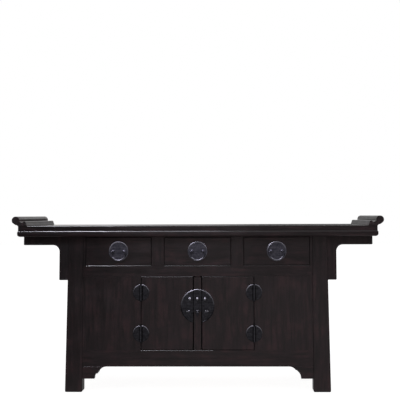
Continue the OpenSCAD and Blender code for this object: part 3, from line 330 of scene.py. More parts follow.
def elm(name, axis, look):
    """Elm boards, with the pores and growth rings drawn out along one axis."""
    material, tree, surface = new_material(name)
    place = add(tree, "TexCoord")["Object"]
    grain = drawn_out(tree, place, axis, *GRAIN)
    streak = drawn_out(tree, place, axis, *STREAK)
    brush, chips, patch = speckles(tree, place, BRUSH_MARK, CHIP, THIN_PATCH)
    rubbed_or_highlit, painted_shade = rubbing_and_shade(tree, chips, CHIP_RANGE, LEFT_IN_CHIPS)

    figure = add(tree, "Math", (grain, streak), operation="ADD")["Value"]
    tone = add(tree, "MapRange", (figure, *SUM_RANGE))["Result"]
    ground = add(tree, "MixRGB", (tone, colour(look["dark"]), colour(look["light"])))["Color"]
    patchy = add(tree, "MapRange", (patch, *PATCH_RANGE, 0, look["thin_share"]))["Result"]
    streaky = add(tree, "MapRange", (streak, *STREAK_RANGE))["Result"]
    thin = add(tree, "Math", (patchy, streaky), operation="MULTIPLY")["Value"]
    thinned = add(tree, "MixRGB", (thin, ground, colour(look["thin"])))["Color"]
    polished_or_highlit = add(tree, "MixRGB", (rubbed_or_highlit, thinned, colour(look["edge"])))["Color"]
    # Painted shade: the upper ends darkened, less where rubbed, then faces marked below 0 darkened
    unrubbed = add(tree, "MapRange", (rubbed_or_highlit, 0, END_SHADE_RUBBED_OFF, look["end_shade"], 0))["Result"]
    end_shade = add(tree, "Math", (end_shade_at(tree, place), unrubbed), operation="MULTIPLY")["Value"]
    darkness = add(tree, "Math", (end_shade, END_SHADE_DARKENS), operation="MULTIPLY")["Value"]
    shown = polished_or_highlit
    for share in (darkness, painted_shade):
        shown = add(tree, "MixRGB", (share, shown, colour(look["shade_colour"])))["Color"]

    brushed = add(tree, "Math", (brush, streak), operation="ADD")["Value"]
    satin = add(tree, "MapRange", (brushed, *SATIN_RANGE, *look["rough"]))["Result"]
    waxed = add(tree, "Mix", {0: rubbed_or_highlit, 2: satin, 3: look["polish"]})[0]
    gloss = add(tree, "Mix", {0: painted_shade, 2: waxed, 3: SHADE_ROUGHNESS})[0]
    shine = add(tree, "MapRange", (rubbed_or_highlit, 0, 1, PLAIN_SHINE, look["glint"]))["Result"]
    for shade_share, shine_left in ((painted_shade, SHADE_SHINE), (end_shade, 1 - END_SHADE_DULLS)):
        dimmed = add(tree, "MapRange", (shade_share, 0, 1, 1, shine_left))["Result"]
        shine = add(tree, "Math", (shine, dimmed), operation="MULTIPLY")["Value"]

    height = add(tree, "Math", (grain, look["raised"], brush), operation="MULTIPLY_ADD")["Value"]
    relief = add(tree, "MapRange", (rubbed_or_highlit, 0, RELIEF_RUBBED_OFF, look["bump"], RELIEF_LEFT))["Result"]
    bump = add(tree, "Bump", {"Strength": relief, "Distance": 1 * MM, "Height": height})["Normal"]
    fill(tree, surface, {
        "Base Color": shown, "Roughness": gloss, "Specular IOR Level": shine, "Normal": bump,
        "IOR": look["ior"],
    })
    return material


# Brown-black lacquer over elm, brushed on and rubbed back: satin, redder where it is thin, polished
# by use along the arrises that hands, drawers and doors rub. The greyer colour of those arrises is in
# part a painted highlight; the near-black colour is painted shade under, beside and between parts and
# at both upper ends
LACQUER = {
    "dark": "#1f1618", "light": "#2e2024", "thin": "#42282c", "thin_share": 0.6, "edge": "#2e2729",
    "end_shade": 1, "shade_colour": "#050404", "rough": (0.32, 0.46), "polish": 0.15, "glint": 0.9,
    "raised": 0.4, "bump": 0.3, "ior": 1.5,
}
# Elm that was planed and left bare inside, darkened by age: matt, with the grain plain to see. Its
# darkest colour is painted shade on the arrises that look sideways and down
BARE = {
    "dark": "#50372a", "light": "#7a583d", "thin": "#8a6a4c", "thin_share": 0.5, "edge": "#6a4c38",
    "end_shade": 0, "shade_colour": "#2a1c15", "rough": (0.55, 0.72), "polish": 0.5, "glint": 0.5,
    "raised": 0.8, "bump": 0.35, "ior": 1.45,
}
AXES = "xyz"
lacquered = [elm("lacquered_elm_grain_" + AXES[i], i, LACQUER) for i in range(3)]
bare = [elm("bare_elm_grain_" + AXES[i], i, BARE) for i in range(3)]


def old_brass(name, look):
    """Sheet and cast brass with a patina that clouds it; faces marked above 0 are lightened, a painted
    highlight, and faces marked below 0 darkened, painted shade.
    """
    material, tree, surface = new_material(name)
    place = add(tree, "TexCoord")["Object"]
    cloud, scuffs = speckles(tree, place, PATINA, SCUFF)
    lines = drawn_out(tree, place, X, *BRUSHED)
    rubbed_or_highlit, painted_shade = rubbing_and_shade(tree, scuffs, SCUFF_RANGE, LEFT_IN_SCUFFS)
    clouded = add(tree, "Math", (cloud, lines), operation="ADD")["Value"]
    tone = add(tree, "MapRange", (clouded, *SUM_RANGE))["Result"]
    ground = add(tree, "MixRGB", (tone, colour(look["dark"]), colour(look["light"])))["Color"]
    polished_or_highlit = add(tree, "MixRGB", (rubbed_or_highlit, ground, colour(look["rubbed_or_highlit"])))["Color"]
    shown = add(tree, "MixRGB", (painted_shade, polished_or_highlit, colour(look["shade_colour"])))["Color"]
    roughness = add(tree, "MapRange", (scuffs, *ROUGH_RANGE, *look["rough"]))["Result"]
    height = add(tree, "Math", (scuffs, cloud), operation="ADD")["Value"]
    bump = add(tree, "Bump", {"Strength": 0.2, "Distance": 0.3 * MM, "Height": height})["Normal"]
    fill(tree, surface, {
        "Base Color": shown, "Roughness": roughness, "Metallic": 1, "Normal": bump,
    })
    return material


# Brass blackened by lamp soot and wax: dull, bluish. Its light colour is a painted highlight on rims,
# filed edges, barrels, lugs, eyes and pull heads, and its near-black one painted shade on lower rims
# and undersides
blackened_brass = old_brass("blackened_brass", {
    "dark": "#363539", "light": "#4e4d52", "rubbed_or_highlit": "#a09ea6", "shade_colour": "#0c0c0e", "rough": (0.36, 0.5),
})
# White brass gone grey: a soft sheen, a touch of lavender. Its light colour is a painted highlight
# on the plates' rims and the low arc of each bail
greyed_white_brass = old_brass("greyed_white_brass", {
    "dark": "#4a4952", "light": "#6d6b75", "rubbed_or_highlit": "#a3a1a9", "shade_colour": "#141416", "rough": (0.36, 0.5),
})

# Making of pieces

MERGED_WITHIN = 0.005 * MM
CUT_WITHIN = 0.001 * MM
FLAT_ANGLE = math.radians(0.5)
SHARP_ANGLE = math.radians(50)
BLUNT_ANGLE = math.radians(28)
# Parts of a unit normal or of an edge's direction
LOOKS_UP = 0.3
LEVEL = 0.98
PARALLEL = 0.99


def new_piece(name, bm, materials, like, *stands_for):
    """A finished mesh as a piece with the given materials, on the body of the CAD node that it is like."""
    mesh = bpy.data.meshes.new(name)
    bm.to_mesh(mesh)
    bm.free()
    for material in materials:
        mesh.materials.append(material)
    piece = bpy.data.objects.new(name, mesh)
    bpy.context.scene.collection.objects.link(piece)
    even = piece.modifiers.new("even_normals", "WEIGHTED_NORMAL")
    even.keep_sharp = True
    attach(piece, BODY_OF[like])
    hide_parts(*stands_for)


def smooth_faces(bm):
    """Smooth shading that stops at every edge sharper than a rounded arris."""
    for face in bm.faces:
        face.smooth = True
    for edge in bm.edges:
        edge.smooth = edge.is_manifold and edge.calc_face_angle() < SHARP_ANGLE


# A mark on each face: above 0, wear that makes it glossier and lighter, on lacquer in part and on brass
# wholly a painted highlight; below 0, painted shade
def wear_and_light_layer(bm):
    return bm.faces.layers.float.get("wear_and_painted_light") or bm.faces.layers.float.new("wear_and_painted_light")


def islands(bm):
    """The separate solids of a mesh, as sets of faces."""
    left = set(bm.faces)
    while left:
        found = {left.pop()}
        reached = list(found)
        while reached:
            near = {other for edge in reached.pop().edges for other in edge.link_faces} & left
            left -= near
            found |= near
            reached.extend(near)
        yield found


def longest_axis(faces):
    places = [v.co for face in faces for v in face.verts]
    spread = [max(p[i] for p in places) - min(p[i] for p in places) for i in range(3)]
    return spread.index(max(spread))


def node_mesh(node):
    """A CAD node's mesh with its loose triangles merged into whole faces."""
    bm = bmesh.new()
    bm.from_mesh(frame["nodes"][node].data)
    bmesh.ops.remove_doubles(bm, verts=bm.verts, dist=MERGED_WITHIN)
    bmesh.ops.dissolve_limit(bm, angle_limit=FLAT_ANGLE, verts=bm.verts, edges=bm.edges)
    return bm


def cut_through(bm, place, across, **settings):
    """Cuts every face where it passes a plane."""
    return bmesh.ops.bisect_plane(
        bm, geom=bm.verts[:] + bm.edges[:] + bm.faces[:], dist=CUT_WITHIN,
        plane_co=place, plane_no=across, **settings,
    )


def capped(bm, place, outward):
    """Cuts off what lies beyond a plane, and closes the cut."""
    cut = cut_through(bm, place, outward, clear_outer=True)
    rim = [item for item in cut["geom_cut"] if isinstance(item, bmesh.types.BMEdge)]
    bmesh.ops.holes_fill(bm, edges=rim, sides=0)


def extrude(bm, faces, move):
    """Extrudes faces, moves what that made, and turns every face of the solid outwards."""
    made = bmesh.ops.extrude_face_region(bm, geom=faces, use_keep_orig=True)["geom"]
    bmesh.ops.translate(
        bm, verts=[item for item in made if isinstance(item, bmesh.types.BMVert)], vec=move
    )
    bmesh.ops.recalc_face_normals(bm, faces=bm.faces)


def round_arrises(bm, radius, chosen, shortest=3 * MM, segments=2, wear_and_shade=(1, 1, 1)):
    """Rounds the chosen outer edges, and marks the new faces that look up, sideways and down: 1 is glossy
    and lighter, in part a painted highlight, and -1 is black, painted shade."""
    wear_and_painted_light = wear_and_light_layer(bm)
    arrises = [
        edge for edge in bm.edges
        if edge.is_manifold and edge.is_convex and edge.calc_face_angle() > BLUNT_ANGLE
        and edge.calc_length() > shortest and chosen(edge)
    ]
    made = bmesh.ops.bevel(
        bm, geom=arrises, offset=radius, offset_type="OFFSET", segments=segments, profile=0.5,
        affect="EDGES", material=-1, clamp_overlap=False,
    )
    for face in made["faces"]:
        face.normal_update()
        up = face.normal.z
        face[wear_and_painted_light] = wear_and_shade[0] if up > LOOKS_UP else wear_and_shade[2] if up < -LOOKS_UP else wear_and_shade[1]


def every_edge(edge):
    return True


def edges_along(axis):
    def runs_along(edge):
        start, end = (v.co for v in edge.verts)
        return abs((end - start).normalized()[axis]) > PARALLEL
    return runs_along


# Wooden pieces: how many millimetres of each one's arrises are worn round

ALL_ROUND = {
    "top_panel": 0.6, "flange_left": 1.4, "flange_right": 1.4,
    "front_apron": 0.8, "apron_brackets": 1.0, "spandrel_end_boards": 1.0,
    "door_left_board": 1.4, "door_right_board": 1.4,
    "side_panels": 0.8, "back_panels": 0.8, "inner_boards": 0.5, "top_braces": 0.8,
    "door_left_battens": 1.5, "door_right_battens": 1.5,
    "drawer_left_box": 0.6, "drawer_middle_box": 0.6, "drawer_right_box": 0.6,
    "drawer_left_bottom": 0.4, "drawer_middle_bottom": 0.4, "drawer_right_bottom": 0.4,
}
LONG_EDGES = {
    "top_rail_back": (1.2, X), "top_rail_ends": (1.2, Y),
    "header_rails": (1.0, X), "back_rails": (1.5, X),
    "side_rails": (1.5, Y), "front_posts": (0.9, Z), "stile_board": (1.4, Z),
    "front_panel_left": (0.9, Z), "front_panel_right": (0.9, Z),
    "drawer_runners": (0.8, Y), "drawer_guides": (0.8, Y),
}
# The housings behind a drawer's face have lips under 1 mm thick, so only its face is rounded
FACE_EDGES = {"drawer_left_front": 2.0, "drawer_middle_front": 2.0, "drawer_right_front": 2.0}
# Stretches of a front rail's upper arris that are rubbed round, in mm from the middle, and how far
FLANGE_TOE = 844
LEFT_DOOR_REACH = (-283, 80)
DRAWERS_REACH = ((-556, -231), (-165, 165), (231, 556))
RUBBED_RUNS = {
    "top_rail_front": (3.0, ((-FLANGE_TOE, FLANGE_TOE),)),
    "drawer_rail": (3.4, DRAWERS_REACH),
    "lower_rail": (3.4, (LEFT_DOOR_REACH,)),
}
RUBBED_TOPS = {"door_left_board": 3.2, "door_right_board": 3.2, "stile_board": 3.2}
# Marks of the arrises that look up, sideways and down: hands and dusting polish those that look up,
# which are a little lighter, in part a painted highlight; those that look sideways and down get painted
# shade, blackest in the gaps beside drawers and doors
LITTLE_WEAR_AND_SHADE = (0.2, -0.2, -0.4)
MOVING_WEAR_AND_SHADE = (0.5, -1, -0.6)
DOOR_WEAR_AND_SHADE = (1, -1, -0.6)
WEAR_AND_SHADE = {
    "drawer_left_front": MOVING_WEAR_AND_SHADE, "drawer_middle_front": MOVING_WEAR_AND_SHADE,
    "drawer_right_front": MOVING_WEAR_AND_SHADE, "stile_board": DOOR_WEAR_AND_SHADE,
    "door_left_board": DOOR_WEAR_AND_SHADE, "door_right_board": DOOR_WEAR_AND_SHADE,
}
# Boards whose upper faces dusting has polished
POLISHED_ABOVE = ("top_panel", "top_rail_back", "top_rail_ends")
FOOT_WEAR = 8 * MM
ON_FLOOR = 1 * MM
LEG_ARRIS = 2.4 * MM
STRIP_ARRIS = 0.8 * MM
# The edge strips' ledge: its tilt as a range of its normal's Z, and from where up it gets painted shade
LEDGE_TILT = (0.3, 0.7)
LEDGE_SHADE_FROM = 792.1 * MM
LEDGE_SHADE = -0.8
LONG_RUN = 300 * MM
SAME_PLACE = 0.05 * MM
# Cuts this many mm either side of a run's end keep its shading from spreading over the rail
RUN_OUT = 0.5


def finish_board(node, bm):
    """Puts the grain of every board in a node along its longest side."""
    finish = lacquered if SLOT_OF[node] == "lacquered_wood" else bare
    solids = [(faces, longest_axis(faces)) for faces in islands(bm)]
    axes = sorted({axis for _, axis in solids})
    for faces, axis in solids:
        for face in faces:
            face.material_index = axes.index(axis)
    smooth_faces(bm)
    new_piece(node + "_worn", bm, [finish[axis] for axis in axes], node, node)


def upper_front(node, runs=((-1000, 1000),)):
    """Chooses a board's upper front arris, where its middle falls in one of the runs."""
    front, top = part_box(node)[0][Y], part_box(node)[1][Z]

    def in_a_run(edge):
        middle = (edge.verts[0].co + edge.verts[1].co) / 2
        at_arris = abs(middle.y - front) < SAME_PLACE and abs(middle.z - top) < SAME_PLACE
        return at_arris and any(low < middle.x / MM < high for low, high in runs)
    return in_a_run


def round_the_face(node):
    """Chooses the arrises round a board's front face."""
    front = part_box(node)[0][Y]

    def in_front(edge):
        return all(abs(v.co.y - front) < SAME_PLACE for v in edge.verts)
    return in_front


def board(node, radius, chosen):
    bm = node_mesh(node)
    if node in RUBBED_TOPS:
        rubbed_top = upper_front(node)
        round_arrises(bm, RUBBED_TOPS[node] * MM, rubbed_top, segments=4)
    round_arrises(bm, radius * MM, chosen, segments=3, wear_and_shade=WEAR_AND_SHADE.get(node, LITTLE_WEAR_AND_SHADE))
    if node in POLISHED_ABOVE:
        polish_above(bm)
    finish_board(node, bm)


def polish_above(bm):
    wear_and_painted_light = wear_and_light_layer(bm)
    for face in bm.faces:
        if face.normal.z > LEVEL:
            face[wear_and_painted_light] = 1


def rubbed_rail(node, radius, runs):
    """A front rail whose upper arris is rubbed round in some stretches and crisp in the others."""
    bm = node_mesh(node)
    for end in [x + aside for run in runs for x in run for aside in (-RUN_OUT, 0, RUN_OUT)]:
        cut_through(bm, (end * MM, 0, 0), (1, 0, 0))
    round_arrises(bm, radius * MM, upper_front(node, runs), segments=4)
    polish_above(bm)
    finish_board(node, bm)


def leg(node):
    """A leg with rounded long arrises and a foot rounded off by wear at its corners, with painted shade on
    the faces of those roundings that look sideways and down.
    """
    bm = node_mesh(node)
    round_arrises(
        bm, FOOT_WEAR, lambda edge: all(v.co.z < ON_FLOOR for v in edge.verts), segments=4,
        wear_and_shade=LITTLE_WEAR_AND_SHADE,
    )
    round_arrises(bm, LEG_ARRIS, edges_along(Z), shortest=LONG_RUN, segments=3, wear_and_shade=LITTLE_WEAR_AND_SHADE)
    finish_board(node, bm)


def edge_strips():
    """Mouldings whose mitred ends stay sharp, and whose sloping ledge is made glossy by dusting, with
    painted shade in its upper corner."""
    bm = node_mesh("edge_strips")
    cut_through(bm, (0, 0, LEDGE_SHADE_FROM), (0, 0, 1))
    wear_and_painted_light = wear_and_light_layer(bm)
    for face in bm.faces:
        if LEDGE_TILT[0] < face.normal.z < LEDGE_TILT[1]:
            face[wear_and_painted_light] = LEDGE_SHADE if face.calc_center_median().z > LEDGE_SHADE_FROM else 1
    for axis in (X, Y):
        round_arrises(bm, STRIP_ARRIS, edges_along(axis), shortest=LONG_RUN, wear_and_shade=LITTLE_WEAR_AND_SHADE)
    finish_board("edge_strips", bm)


# Spandrels: flat boards with an incised line that leaves a bead along their free edges

UNDER_TOP = 793.8 * MM
ARM_LOW = 723 * MM
DROP_LOW = 549 * MM
DROP_X = 689.7 * MM
ARM_X = 869 * MM
SPANDREL_FACE = 191 * MM
SPANDREL_T = 20 * MM
FILLET = 33 * MM
FREE_CORNER = 4.5 * MM
# The leg's outer face at the floor, and how it leans; the board runs into leg and top by this much
LEG_FOOT_X = 655 * MM
LEG_LEAN = 12 / 794
INTO_LEG = 24 * MM
INTO_TOP = 12 * MM
JOINT_GAP = 0.2 * MM
# From the free edge inwards: each step's width, and how far it rises towards the front, in mm
BEAD_STEPS = ((0.5, 0.9), (1.1, 0.5), (1.7, 0.1), (1.1, -0.3))
GROOVE_STEPS = ((0.6, -1.0), (0.5, -0.5), (0.9, 0), (0.5, 1.2))
# How far the free edge lies behind the board's face, where the bead's first step begins
BEAD_EDGE = 0.9 * MM
CORNER_REACH = 1 * MM
# Wear of the steps that rise, and painted shade on everything else, for the shade under the top
BEAD_WEAR = 0.6
SPANDREL_SHADE = -0.2


def square_inner_corners(bm, front, inset):
    """Draws each free corner's arc, all but used up by the bead's width, together in one point."""
    level = front.calc_center_median().y
    for x, z in ((DROP_X, DROP_LOW), (ARM_X, ARM_LOW)):
        corner = Vector((x - inset, level, z + inset))
        arc_left = [v for v in front.verts if (v.co - corner).length < CORNER_REACH]
        bmesh.ops.pointmerge(bm, verts=arc_left, merge_co=corner)


def spandrel_board():
    """The right-hand spandrel of the front: it runs on into leg and top, and is cut off there."""
    leg_side = LEG_FOOT_X - LEG_LEAN * DROP_LOW - INTO_LEG
    top_side = UNDER_TOP + INTO_TOP
    bm = bmesh.new()
    wear_and_painted_light = wear_and_light_layer(bm)
    corners = [
        bm.verts.new((x, BEAD_EDGE - SPANDREL_FACE, z)) for x, z in (
            (leg_side, DROP_LOW), (DROP_X, DROP_LOW), (DROP_X, ARM_LOW),
            (ARM_X, ARM_LOW), (ARM_X, top_side), (leg_side, top_side),
        )
    ]
    bm.faces.new(corners)
    inner, free = (corners[2],), (corners[1], corners[3])
    for rounded, radius, segments in ((inner, FILLET, 12), (free, FREE_CORNER, 4)):
        bmesh.ops.bevel(
            bm, geom=rounded, offset=radius, offset_type="OFFSET", segments=segments, profile=0.5,
            affect="VERTICES", material=-1, clamp_overlap=False,
        )
    front = bm.faces[:][0]
    if front.normal.y > 0:
        front.normal_flip()
    extrude(bm, [front], (0, SPANDREL_T - BEAD_EDGE, 0))
    for steps in (BEAD_STEPS, GROOVE_STEPS):
        front = max(bm.faces, key=lambda f: -f.normal.y * f.calc_area())
        for width, rise in steps:
            ring = bmesh.ops.inset_region(
                bm, faces=[front], thickness=width * MM, depth=rise * MM,
                use_boundary=True, use_even_offset=True,
            )
            for face in ring["faces"]:
                face[wear_and_painted_light] = BEAD_WEAR * (rise > 0)
        if steps is BEAD_STEPS:
            square_inner_corners(bm, front, sum(width for width, _ in steps) * MM)
    # Painted shade on every face that is not on a rising step
    for face in bm.faces:
        face[wear_and_painted_light] = face[wear_and_painted_light] or SPANDREL_SHADE
    lean = Vector((-1, 0, -LEG_LEAN)).normalized()
    capped(bm, (LEG_FOOT_X + JOINT_GAP, 0, 0), lean)
    capped(bm, (0, 0, UNDER_TOP), (0, 0, 1))
    return bm


def mirrored(bm, axis):
    """Turns a mesh into its mirror image."""
    scale = [1, 1, 1]
    scale[axis] = -1
    bmesh.ops.scale(bm, vec=scale, verts=bm.verts)
    bmesh.ops.reverse_faces(bm, faces=bm.faces)
    return bm


def gathered(shapes):
    """Several meshes as one."""
    whole = bmesh.new()
    wear_and_light_layer(whole)
    mesh = bpy.data.meshes.new("gathered")
    for shape in shapes:
        shape.to_mesh(mesh)
        shape.free()
        whole.from_mesh(mesh)
    bpy.data.meshes.remove(mesh)
    return whole


def spandrels():
    for node, at_back in (("spandrels_front", False), ("spandrels_back", True)):
        pair = [spandrel_board(), mirrored(spandrel_board(), X)]
        if at_back:
            pair = [mirrored(bm, Y) for bm in pair]
        finish_board(node, gathered(pair))


# Metal: turned discs and rings, bent rods

TO_FRONT = Matrix.Rotation(math.radians(90), 4, "X")
ALONG_X = Matrix.Rotation(math.radians(90), 4, "Y")
PLATE_BACK = -193.2
# How fast the painted highlight on a rim's upper arc passes into its lower arc
RIM_FADE = 2


def turned(profile, place, steps):
    """A profile of (radius, height) in mm, from axis to axis, spun and set in place facing forward."""
    bm = bmesh.new()
    wear_and_light_layer(bm)
    points = [bm.verts.new((r * MM, 0, h * MM)) for r, h in profile]
    lines = [bm.edges.new(pair) for pair in zip(points, points[1:])]
    bmesh.ops.spin(
        bm, geom=points + lines, cent=(0, 0, 0), axis=(0, 0, 1), dvec=(0, 0, 0),
        angle=math.tau, steps=steps, use_merge=True,
    )
    bmesh.ops.remove_doubles(bm, verts=bm.verts, dist=MERGED_WITHIN)
    bmesh.ops.recalc_face_normals(bm, faces=bm.faces)
    matrix = Matrix.Translation([v * MM for v in place]) @ TO_FRONT
    bmesh.ops.transform(bm, matrix=matrix, verts=bm.verts)
    return bm


def mark_rim(bm, centre, inner, outer, above, below):
    """Marks a rim about a centre in X and Z with a painted highlight, strongest along its upper arc and
    least below, where a mark under 0 is painted shade.
    """
    wear_and_painted_light = wear_and_light_layer(bm)
    for face in bm.faces:
        middle = face.calc_center_median()
        up = middle.z / MM - centre[1]
        if inner < math.hypot(middle.x / MM - centre[0], up) < outer:
            face[wear_and_painted_light] = min(max(up / outer * RIM_FADE, below), above)
    return bm


def metal_piece(node, made_by, bm, finish):
    """A metal node's piece, named for the way it is made."""
    smooth_faces(bm)
    new_piece(node + made_by, bm, [finish], node, node)


# Drawer pulls: a plate with a rounded rim, two collared posts, and a bail of bent rod
DRAWER_PLATE = (
    (0, 1.5), (42.4, 1.5), (43.2, 1.65), (45.5, 3.1), (46.1, 3.4), (46.7, 3.3),
    (48.7, 2.05), (49, 1.5), (49, 0), (0, 0),
)
DRAWER_POST = (
    (0, 11.2), (1.7, 11.1), (3.2, 10.6), (4.3, 9.6), (4.8, 8.2), (4.75, 6.6), (4.3, 5.2),
    (3.7, 4.2), (3.6, 3.8), (4.6, 3.5), (6.2, 3.1), (7.3, 2.4), (7.7, 1.5), (7.7, 0.5), (0, 0.5),
)
# Of a rim: inner and outer radius, and the painted highlight of its upper and lower arc
PLATE_RIM = (43, 49, 0.65, 0.3)
PULL_Z = 691.5
PULL_PLACES = {"left": -393.5, "middle": 0, "right": 393.5}
POST_X = 27
# The bail, from its axis: pins that pass through the posts, shoulders against their collars, corners
# bent down, short legs, and an arc whose low part carries a painted highlight
BAIL_Y = -200.2
PIN_INNER = 23
PIN_OUTER = 31.9
PIN_RADIUS = 2.35
SHOULDER = (32, 2.6)
BAIL_BEND = 35
BAIL_CORNER = 3
BAIL_LEG = 9
BAIL_ARC = (-8, -90)
ROD_RADIUS = 2.9
BAIL_HIGHLIGHT = 0.65
BAIL_HIGHLIGHT_BELOW = PULL_Z - 27


def bent_rod(points, radii):
    """A round rod along points in mm, as a mesh."""
    curve = bpy.data.curves.new("rod", "CURVE")
    curve.dimensions = "3D"
    curve.bevel_depth = 1 * MM
    curve.bevel_resolution = 5
    curve.use_fill_caps = True
    spline = curve.splines.new("POLY")
    spline.points.add(len(points) - 1)
    for point, place, radius in zip(spline.points, points, radii):
        point.co = [v * MM for v in place] + [1]
        point.radius = radius
    holder = bpy.data.objects.new("rod", curve)
    bpy.context.scene.collection.objects.link(holder)
    mesh = bpy.data.meshes.new_from_object(holder)
    bm = bmesh.new()
    bm.from_mesh(mesh)
    bpy.data.objects.remove(holder)
    bpy.data.curves.remove(curve)
    bpy.data.meshes.remove(mesh)
    bmesh.ops.remove_doubles(bm, verts=bm.verts, dist=MERGED_WITHIN)
    bmesh.ops.recalc_face_normals(bm, faces=bm.faces)
    return bm


def arc(centre, radius, start, end, count):
    """Points on an arc in X and Z, between two angles in degrees."""
    turns = [math.radians(start + (end - start) * i / (count - 1)) for i in range(count)]
    return [(centre[0] + radius * math.cos(t), centre[1] + radius * math.sin(t)) for t in turns]


def bail(x):
    """A drawer's bail: its right half as points with the rod's radius there, then the same mirrored."""
    half = [(PIN_INNER, 0, PIN_RADIUS), (PIN_OUTER, 0, PIN_RADIUS), (SHOULDER[0], 0, SHOULDER[1])]
    bend = arc((BAIL_BEND - BAIL_CORNER, -BAIL_CORNER), BAIL_CORNER, 90, 0, 5)
    hanging = arc((0, -BAIL_LEG), BAIL_BEND, *BAIL_ARC, 14)
    half += [(px, pz, ROD_RADIUS) for px, pz in bend + [(BAIL_BEND, -BAIL_LEG)] + hanging]
    left = [(-px, pz, r) for px, pz, r in reversed(half[:-1])]
    course = half + left
    bm = bent_rod([(x + px, BAIL_Y, PULL_Z + pz) for px, pz, _ in course], [r for _, _, r in course])
    # A painted highlight along the low arc of the bail
    wear_and_painted_light = wear_and_light_layer(bm)
    for face in bm.faces:
        face[wear_and_painted_light] = BAIL_HIGHLIGHT * (face.calc_center_median().z < BAIL_HIGHLIGHT_BELOW * MM)
    return bm


def drawer_pulls():
    for side, x in PULL_PLACES.items():
        plate = mark_rim(
            turned(DRAWER_PLATE, (x, PLATE_BACK, PULL_Z), 96), (x, PULL_Z), *PLATE_RIM
        )
        posts = [
            turned(DRAWER_POST, (x + way * POST_X, PLATE_BACK, PULL_Z), 32) for way in (-1, 1)
        ]
        node = "drawer_%s_plate" % side
        metal_piece(node, "_turned", gathered([plate] + posts), greyed_white_brass)
        node = "drawer_%s_bail" % side
        metal_piece(node, "_bent", bail(x), greyed_white_brass)


# Lock plate: a disc with a raised rim, in three pieces, with lugs for the bar and eyes for the pulls
LOCK_Z = 420
LOCK_DISC = (
    (0, 1.5), (78.6, 1.5), (79.4, 1.7), (80.2, 2.3), (80.8, 2.55), (81.4, 2.35), (83.8, 0.85),
    (84, 0.5), (84, 0), (0, 0),
)
# The lock's rim: a painted highlight along its upper arc and painted shade along its lower arc
LOCK_RIM = (78.5, 84, 0.45, -0.5)
DOOR_EDGE = 22.5
STILE_EDGE = 19.5
STILE_TAIL = 393
# Of a lug and an eye: distance from the middle, height, width, radius, bore and height of the neck
LUG = (37.5, 458, 10, 8.5, 4, 17)
EYE = (41.5, 399, 5, 3.6, 1.6, 4.4)
BAR_Y = -203.7
NECK_ROOT = PLATE_BACK - 0.4
# How far a ring's edges are rounded, as a part of its width
RING_ROUND = 0.14


def ring_on_foot(x, z, width, outer, bore, neck):
    """A lug or an eye: a ring about an axis along X, on a neck that reaches back to the plate."""
    bm = bmesh.new()
    wear_and_painted_light = wear_and_light_layer(bm)
    loops = []
    for radius in (outer, bore):
        loops.append(bmesh.ops.create_circle(
            bm, segments=32, radius=radius * MM,
            matrix=Matrix.Translation([(x - width / 2) * MM, BAR_Y * MM, z * MM]) @ ALONG_X,
        )["verts"])
    for v in loops[0]:
        if v.co.y > BAR_Y * MM + CUT_WITHIN and abs(v.co.z / MM - z) < neck / 2:
            v.co.y = NECK_ROOT * MM
    bmesh.ops.bridge_loops(bm, edges=bm.edges[:])
    extrude(bm, bm.faces[:], (width * MM, 0, 0))
    round_arrises(bm, width * RING_ROUND * MM, every_edge, shortest=0.1 * MM)
    # A painted highlight over the whole ring: lighter brass all over
    for face in bm.faces:
        face[wear_and_painted_light] = 1
    return bm


def lock_plates():
    disc = (LOCK_DISC, (0, PLATE_BACK, LOCK_Z), 128)
    for side, way in (("left", -1), ("right", 1)):
        plate = mark_rim(turned(*disc), (0, LOCK_Z), *LOCK_RIM)
        capped(plate, (way * DOOR_EDGE * MM, 0, 0), (-way, 0, 0))
        fittings = [ring_on_foot(way * part[0], *part[1:]) for part in (LUG, EYE)]
        node = "door_%s_lock_plate" % side
        metal_piece(node, "_turned", gathered([plate] + fittings), blackened_brass)
    plate = mark_rim(turned(*disc), (0, LOCK_Z), *LOCK_RIM)
    for way in (-1, 1):
        capped(plate, (way * STILE_EDGE * MM, 0, 0), (way, 0, 0))
    capped(plate, (0, 0, STILE_TAIL * MM), (0, 0, -1))
    fittings = [ring_on_foot(0, *part[1:]) for part in (LUG, EYE)]
    metal_piece("stile_lock_plate", "_turned", gathered([plate] + fittings), blackened_brass)


# Hinges and pendant pulls: their edges filed round
HINGE_X = 280
HINGE_HEIGHTS = (286, 487)
HINGE_R = 41
HINGE_SLOPE = 3.4
ON_RIM = 0.3 * MM
# A face on that slope, as a range of its normal's Y, and how its painted highlight follows its normal's Z,
# turning to painted shade where it looks down
SLOPING = (0.2, 0.97)
SLOPE_CONTRAST = 4
# Painted shade lies on a barrel's sides and on the plate this far from its axis, and a painted highlight
# down its front
BARREL_SHADE_REACH = 8.7
BARREL_BAND = 3.2
BARREL_FRONT = -203
BARREL_HIGHLIGHT = 0.12
BARREL_SHADE = -0.6
BARREL_ENDS = 0.2
LEAF_FILED = 0.5
PIN_FILED = 0.9
PULL_FILED = 0.9
# Painted highlight on filed faces that look up, painted shade on those that look down, and the height above
# which a pull's head gets a painted highlight
FILED_HIGHLIGHT = 0.3
UNDERSIDE_SHADE = -0.3
PULL_HIGHLIGHT_FROM = 393


def filed(node, bm, radius, up_highlight=FILED_HIGHLIGHT):
    """Metal cut from a node's own shape, its edges filed round; filed faces that look up get a painted
    highlight, and those that look down painted shade.
    """
    round_arrises(bm, radius * MM, every_edge, shortest=1 * MM, wear_and_shade=(up_highlight, 0, UNDERSIDE_SHADE))
    metal_piece(node, "_filed", bm, blackened_brass)


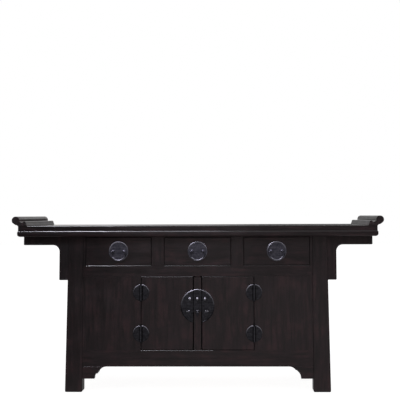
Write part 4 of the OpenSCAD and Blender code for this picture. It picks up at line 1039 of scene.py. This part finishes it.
def slope_hinge_rims(bm):
    """Draws in the front of each round rim, which makes a slope of the rim, and paints a highlight on it
    where it looks up and shade where it looks down.
    """
    for v in bm.verts:
        for height in HINGE_HEIGHTS:
            centre = Vector((math.copysign(HINGE_X, v.co.x), v.co.y / MM, height)) * MM
            spoke = v.co - centre
            if v.co.y < (PLATE_BACK - 1) * MM and abs(spoke.length - HINGE_R * MM) < ON_RIM:
                v.co = centre + spoke * (1 - HINGE_SLOPE / HINGE_R)
    wear_and_painted_light = wear_and_light_layer(bm)
    bm.normal_update()
    for face in bm.faces:
        sloping = SLOPING[0] < abs(face.normal.y) < SLOPING[1]
        face[wear_and_painted_light] = min(max(face.normal.z * SLOPE_CONTRAST, UNDERSIDE_SHADE), 1) * sloping


def shade_barrels(bm):
    """Paints a highlight down the front of each barrel, and shade down its sides and on the plate there."""
    for edge in [way * HINGE_X + aside for way in (-1, 1) for aside in (-BARREL_SHADE_REACH, BARREL_SHADE_REACH)]:
        cut_through(bm, (edge * MM, 0, 0), (1, 0, 0))
    wear_and_painted_light = wear_and_light_layer(bm)
    bm.normal_update()
    for face in bm.faces:
        middle = face.calc_center_median() / MM
        aside = abs(abs(middle.x) - HINGE_X)
        if aside < BARREL_SHADE_REACH and abs(face.normal.z) < BARREL_ENDS:
            in_front = aside < BARREL_BAND and middle.y < BARREL_FRONT
            face[wear_and_painted_light] = BARREL_HIGHLIGHT if in_front else BARREL_SHADE


def hinges_and_pulls():
    for node in ("hinge_leaves_fixed", "door_left_leaves", "door_right_leaves"):
        bm = node_mesh(node)
        slope_hinge_rims(bm)
        shade_barrels(bm)
        filed(node, bm, LEAF_FILED)
    filed("hinge_pins", node_mesh("hinge_pins"), PIN_FILED)
    for node in ("door_left_pull", "door_right_pull", "stile_pull"):
        bm = node_mesh(node)
        wear_and_painted_light = wear_and_light_layer(bm)
        # A painted highlight over each pull's head
        for face in bm.faces:
            face[wear_and_painted_light] = float(face.calc_center_median().z > PULL_HIGHLIGHT_FROM * MM)
        filed(node, bm, PULL_FILED, up_highlight=1)


make_camera()
make_studio()
for name, worn_by in ALL_ROUND.items():
    board(name, worn_by, every_edge)
for name, worn_by in FACE_EDGES.items():
    board(name, worn_by, round_the_face(name))
for name, (worn_by, run) in LONG_EDGES.items():
    board(name, worn_by, edges_along(run))
for name, (worn_by, stretches) in RUBBED_RUNS.items():
    rubbed_rail(name, worn_by, stretches)
for side in ("front_left", "front_right", "back_left", "back_right"):
    leg("leg_" + side)
edge_strips()
spandrels()
drawer_pulls()
lock_plates()
hinges_and_pulls()

bpy.context.scene.view_settings.view_transform = "Standard"
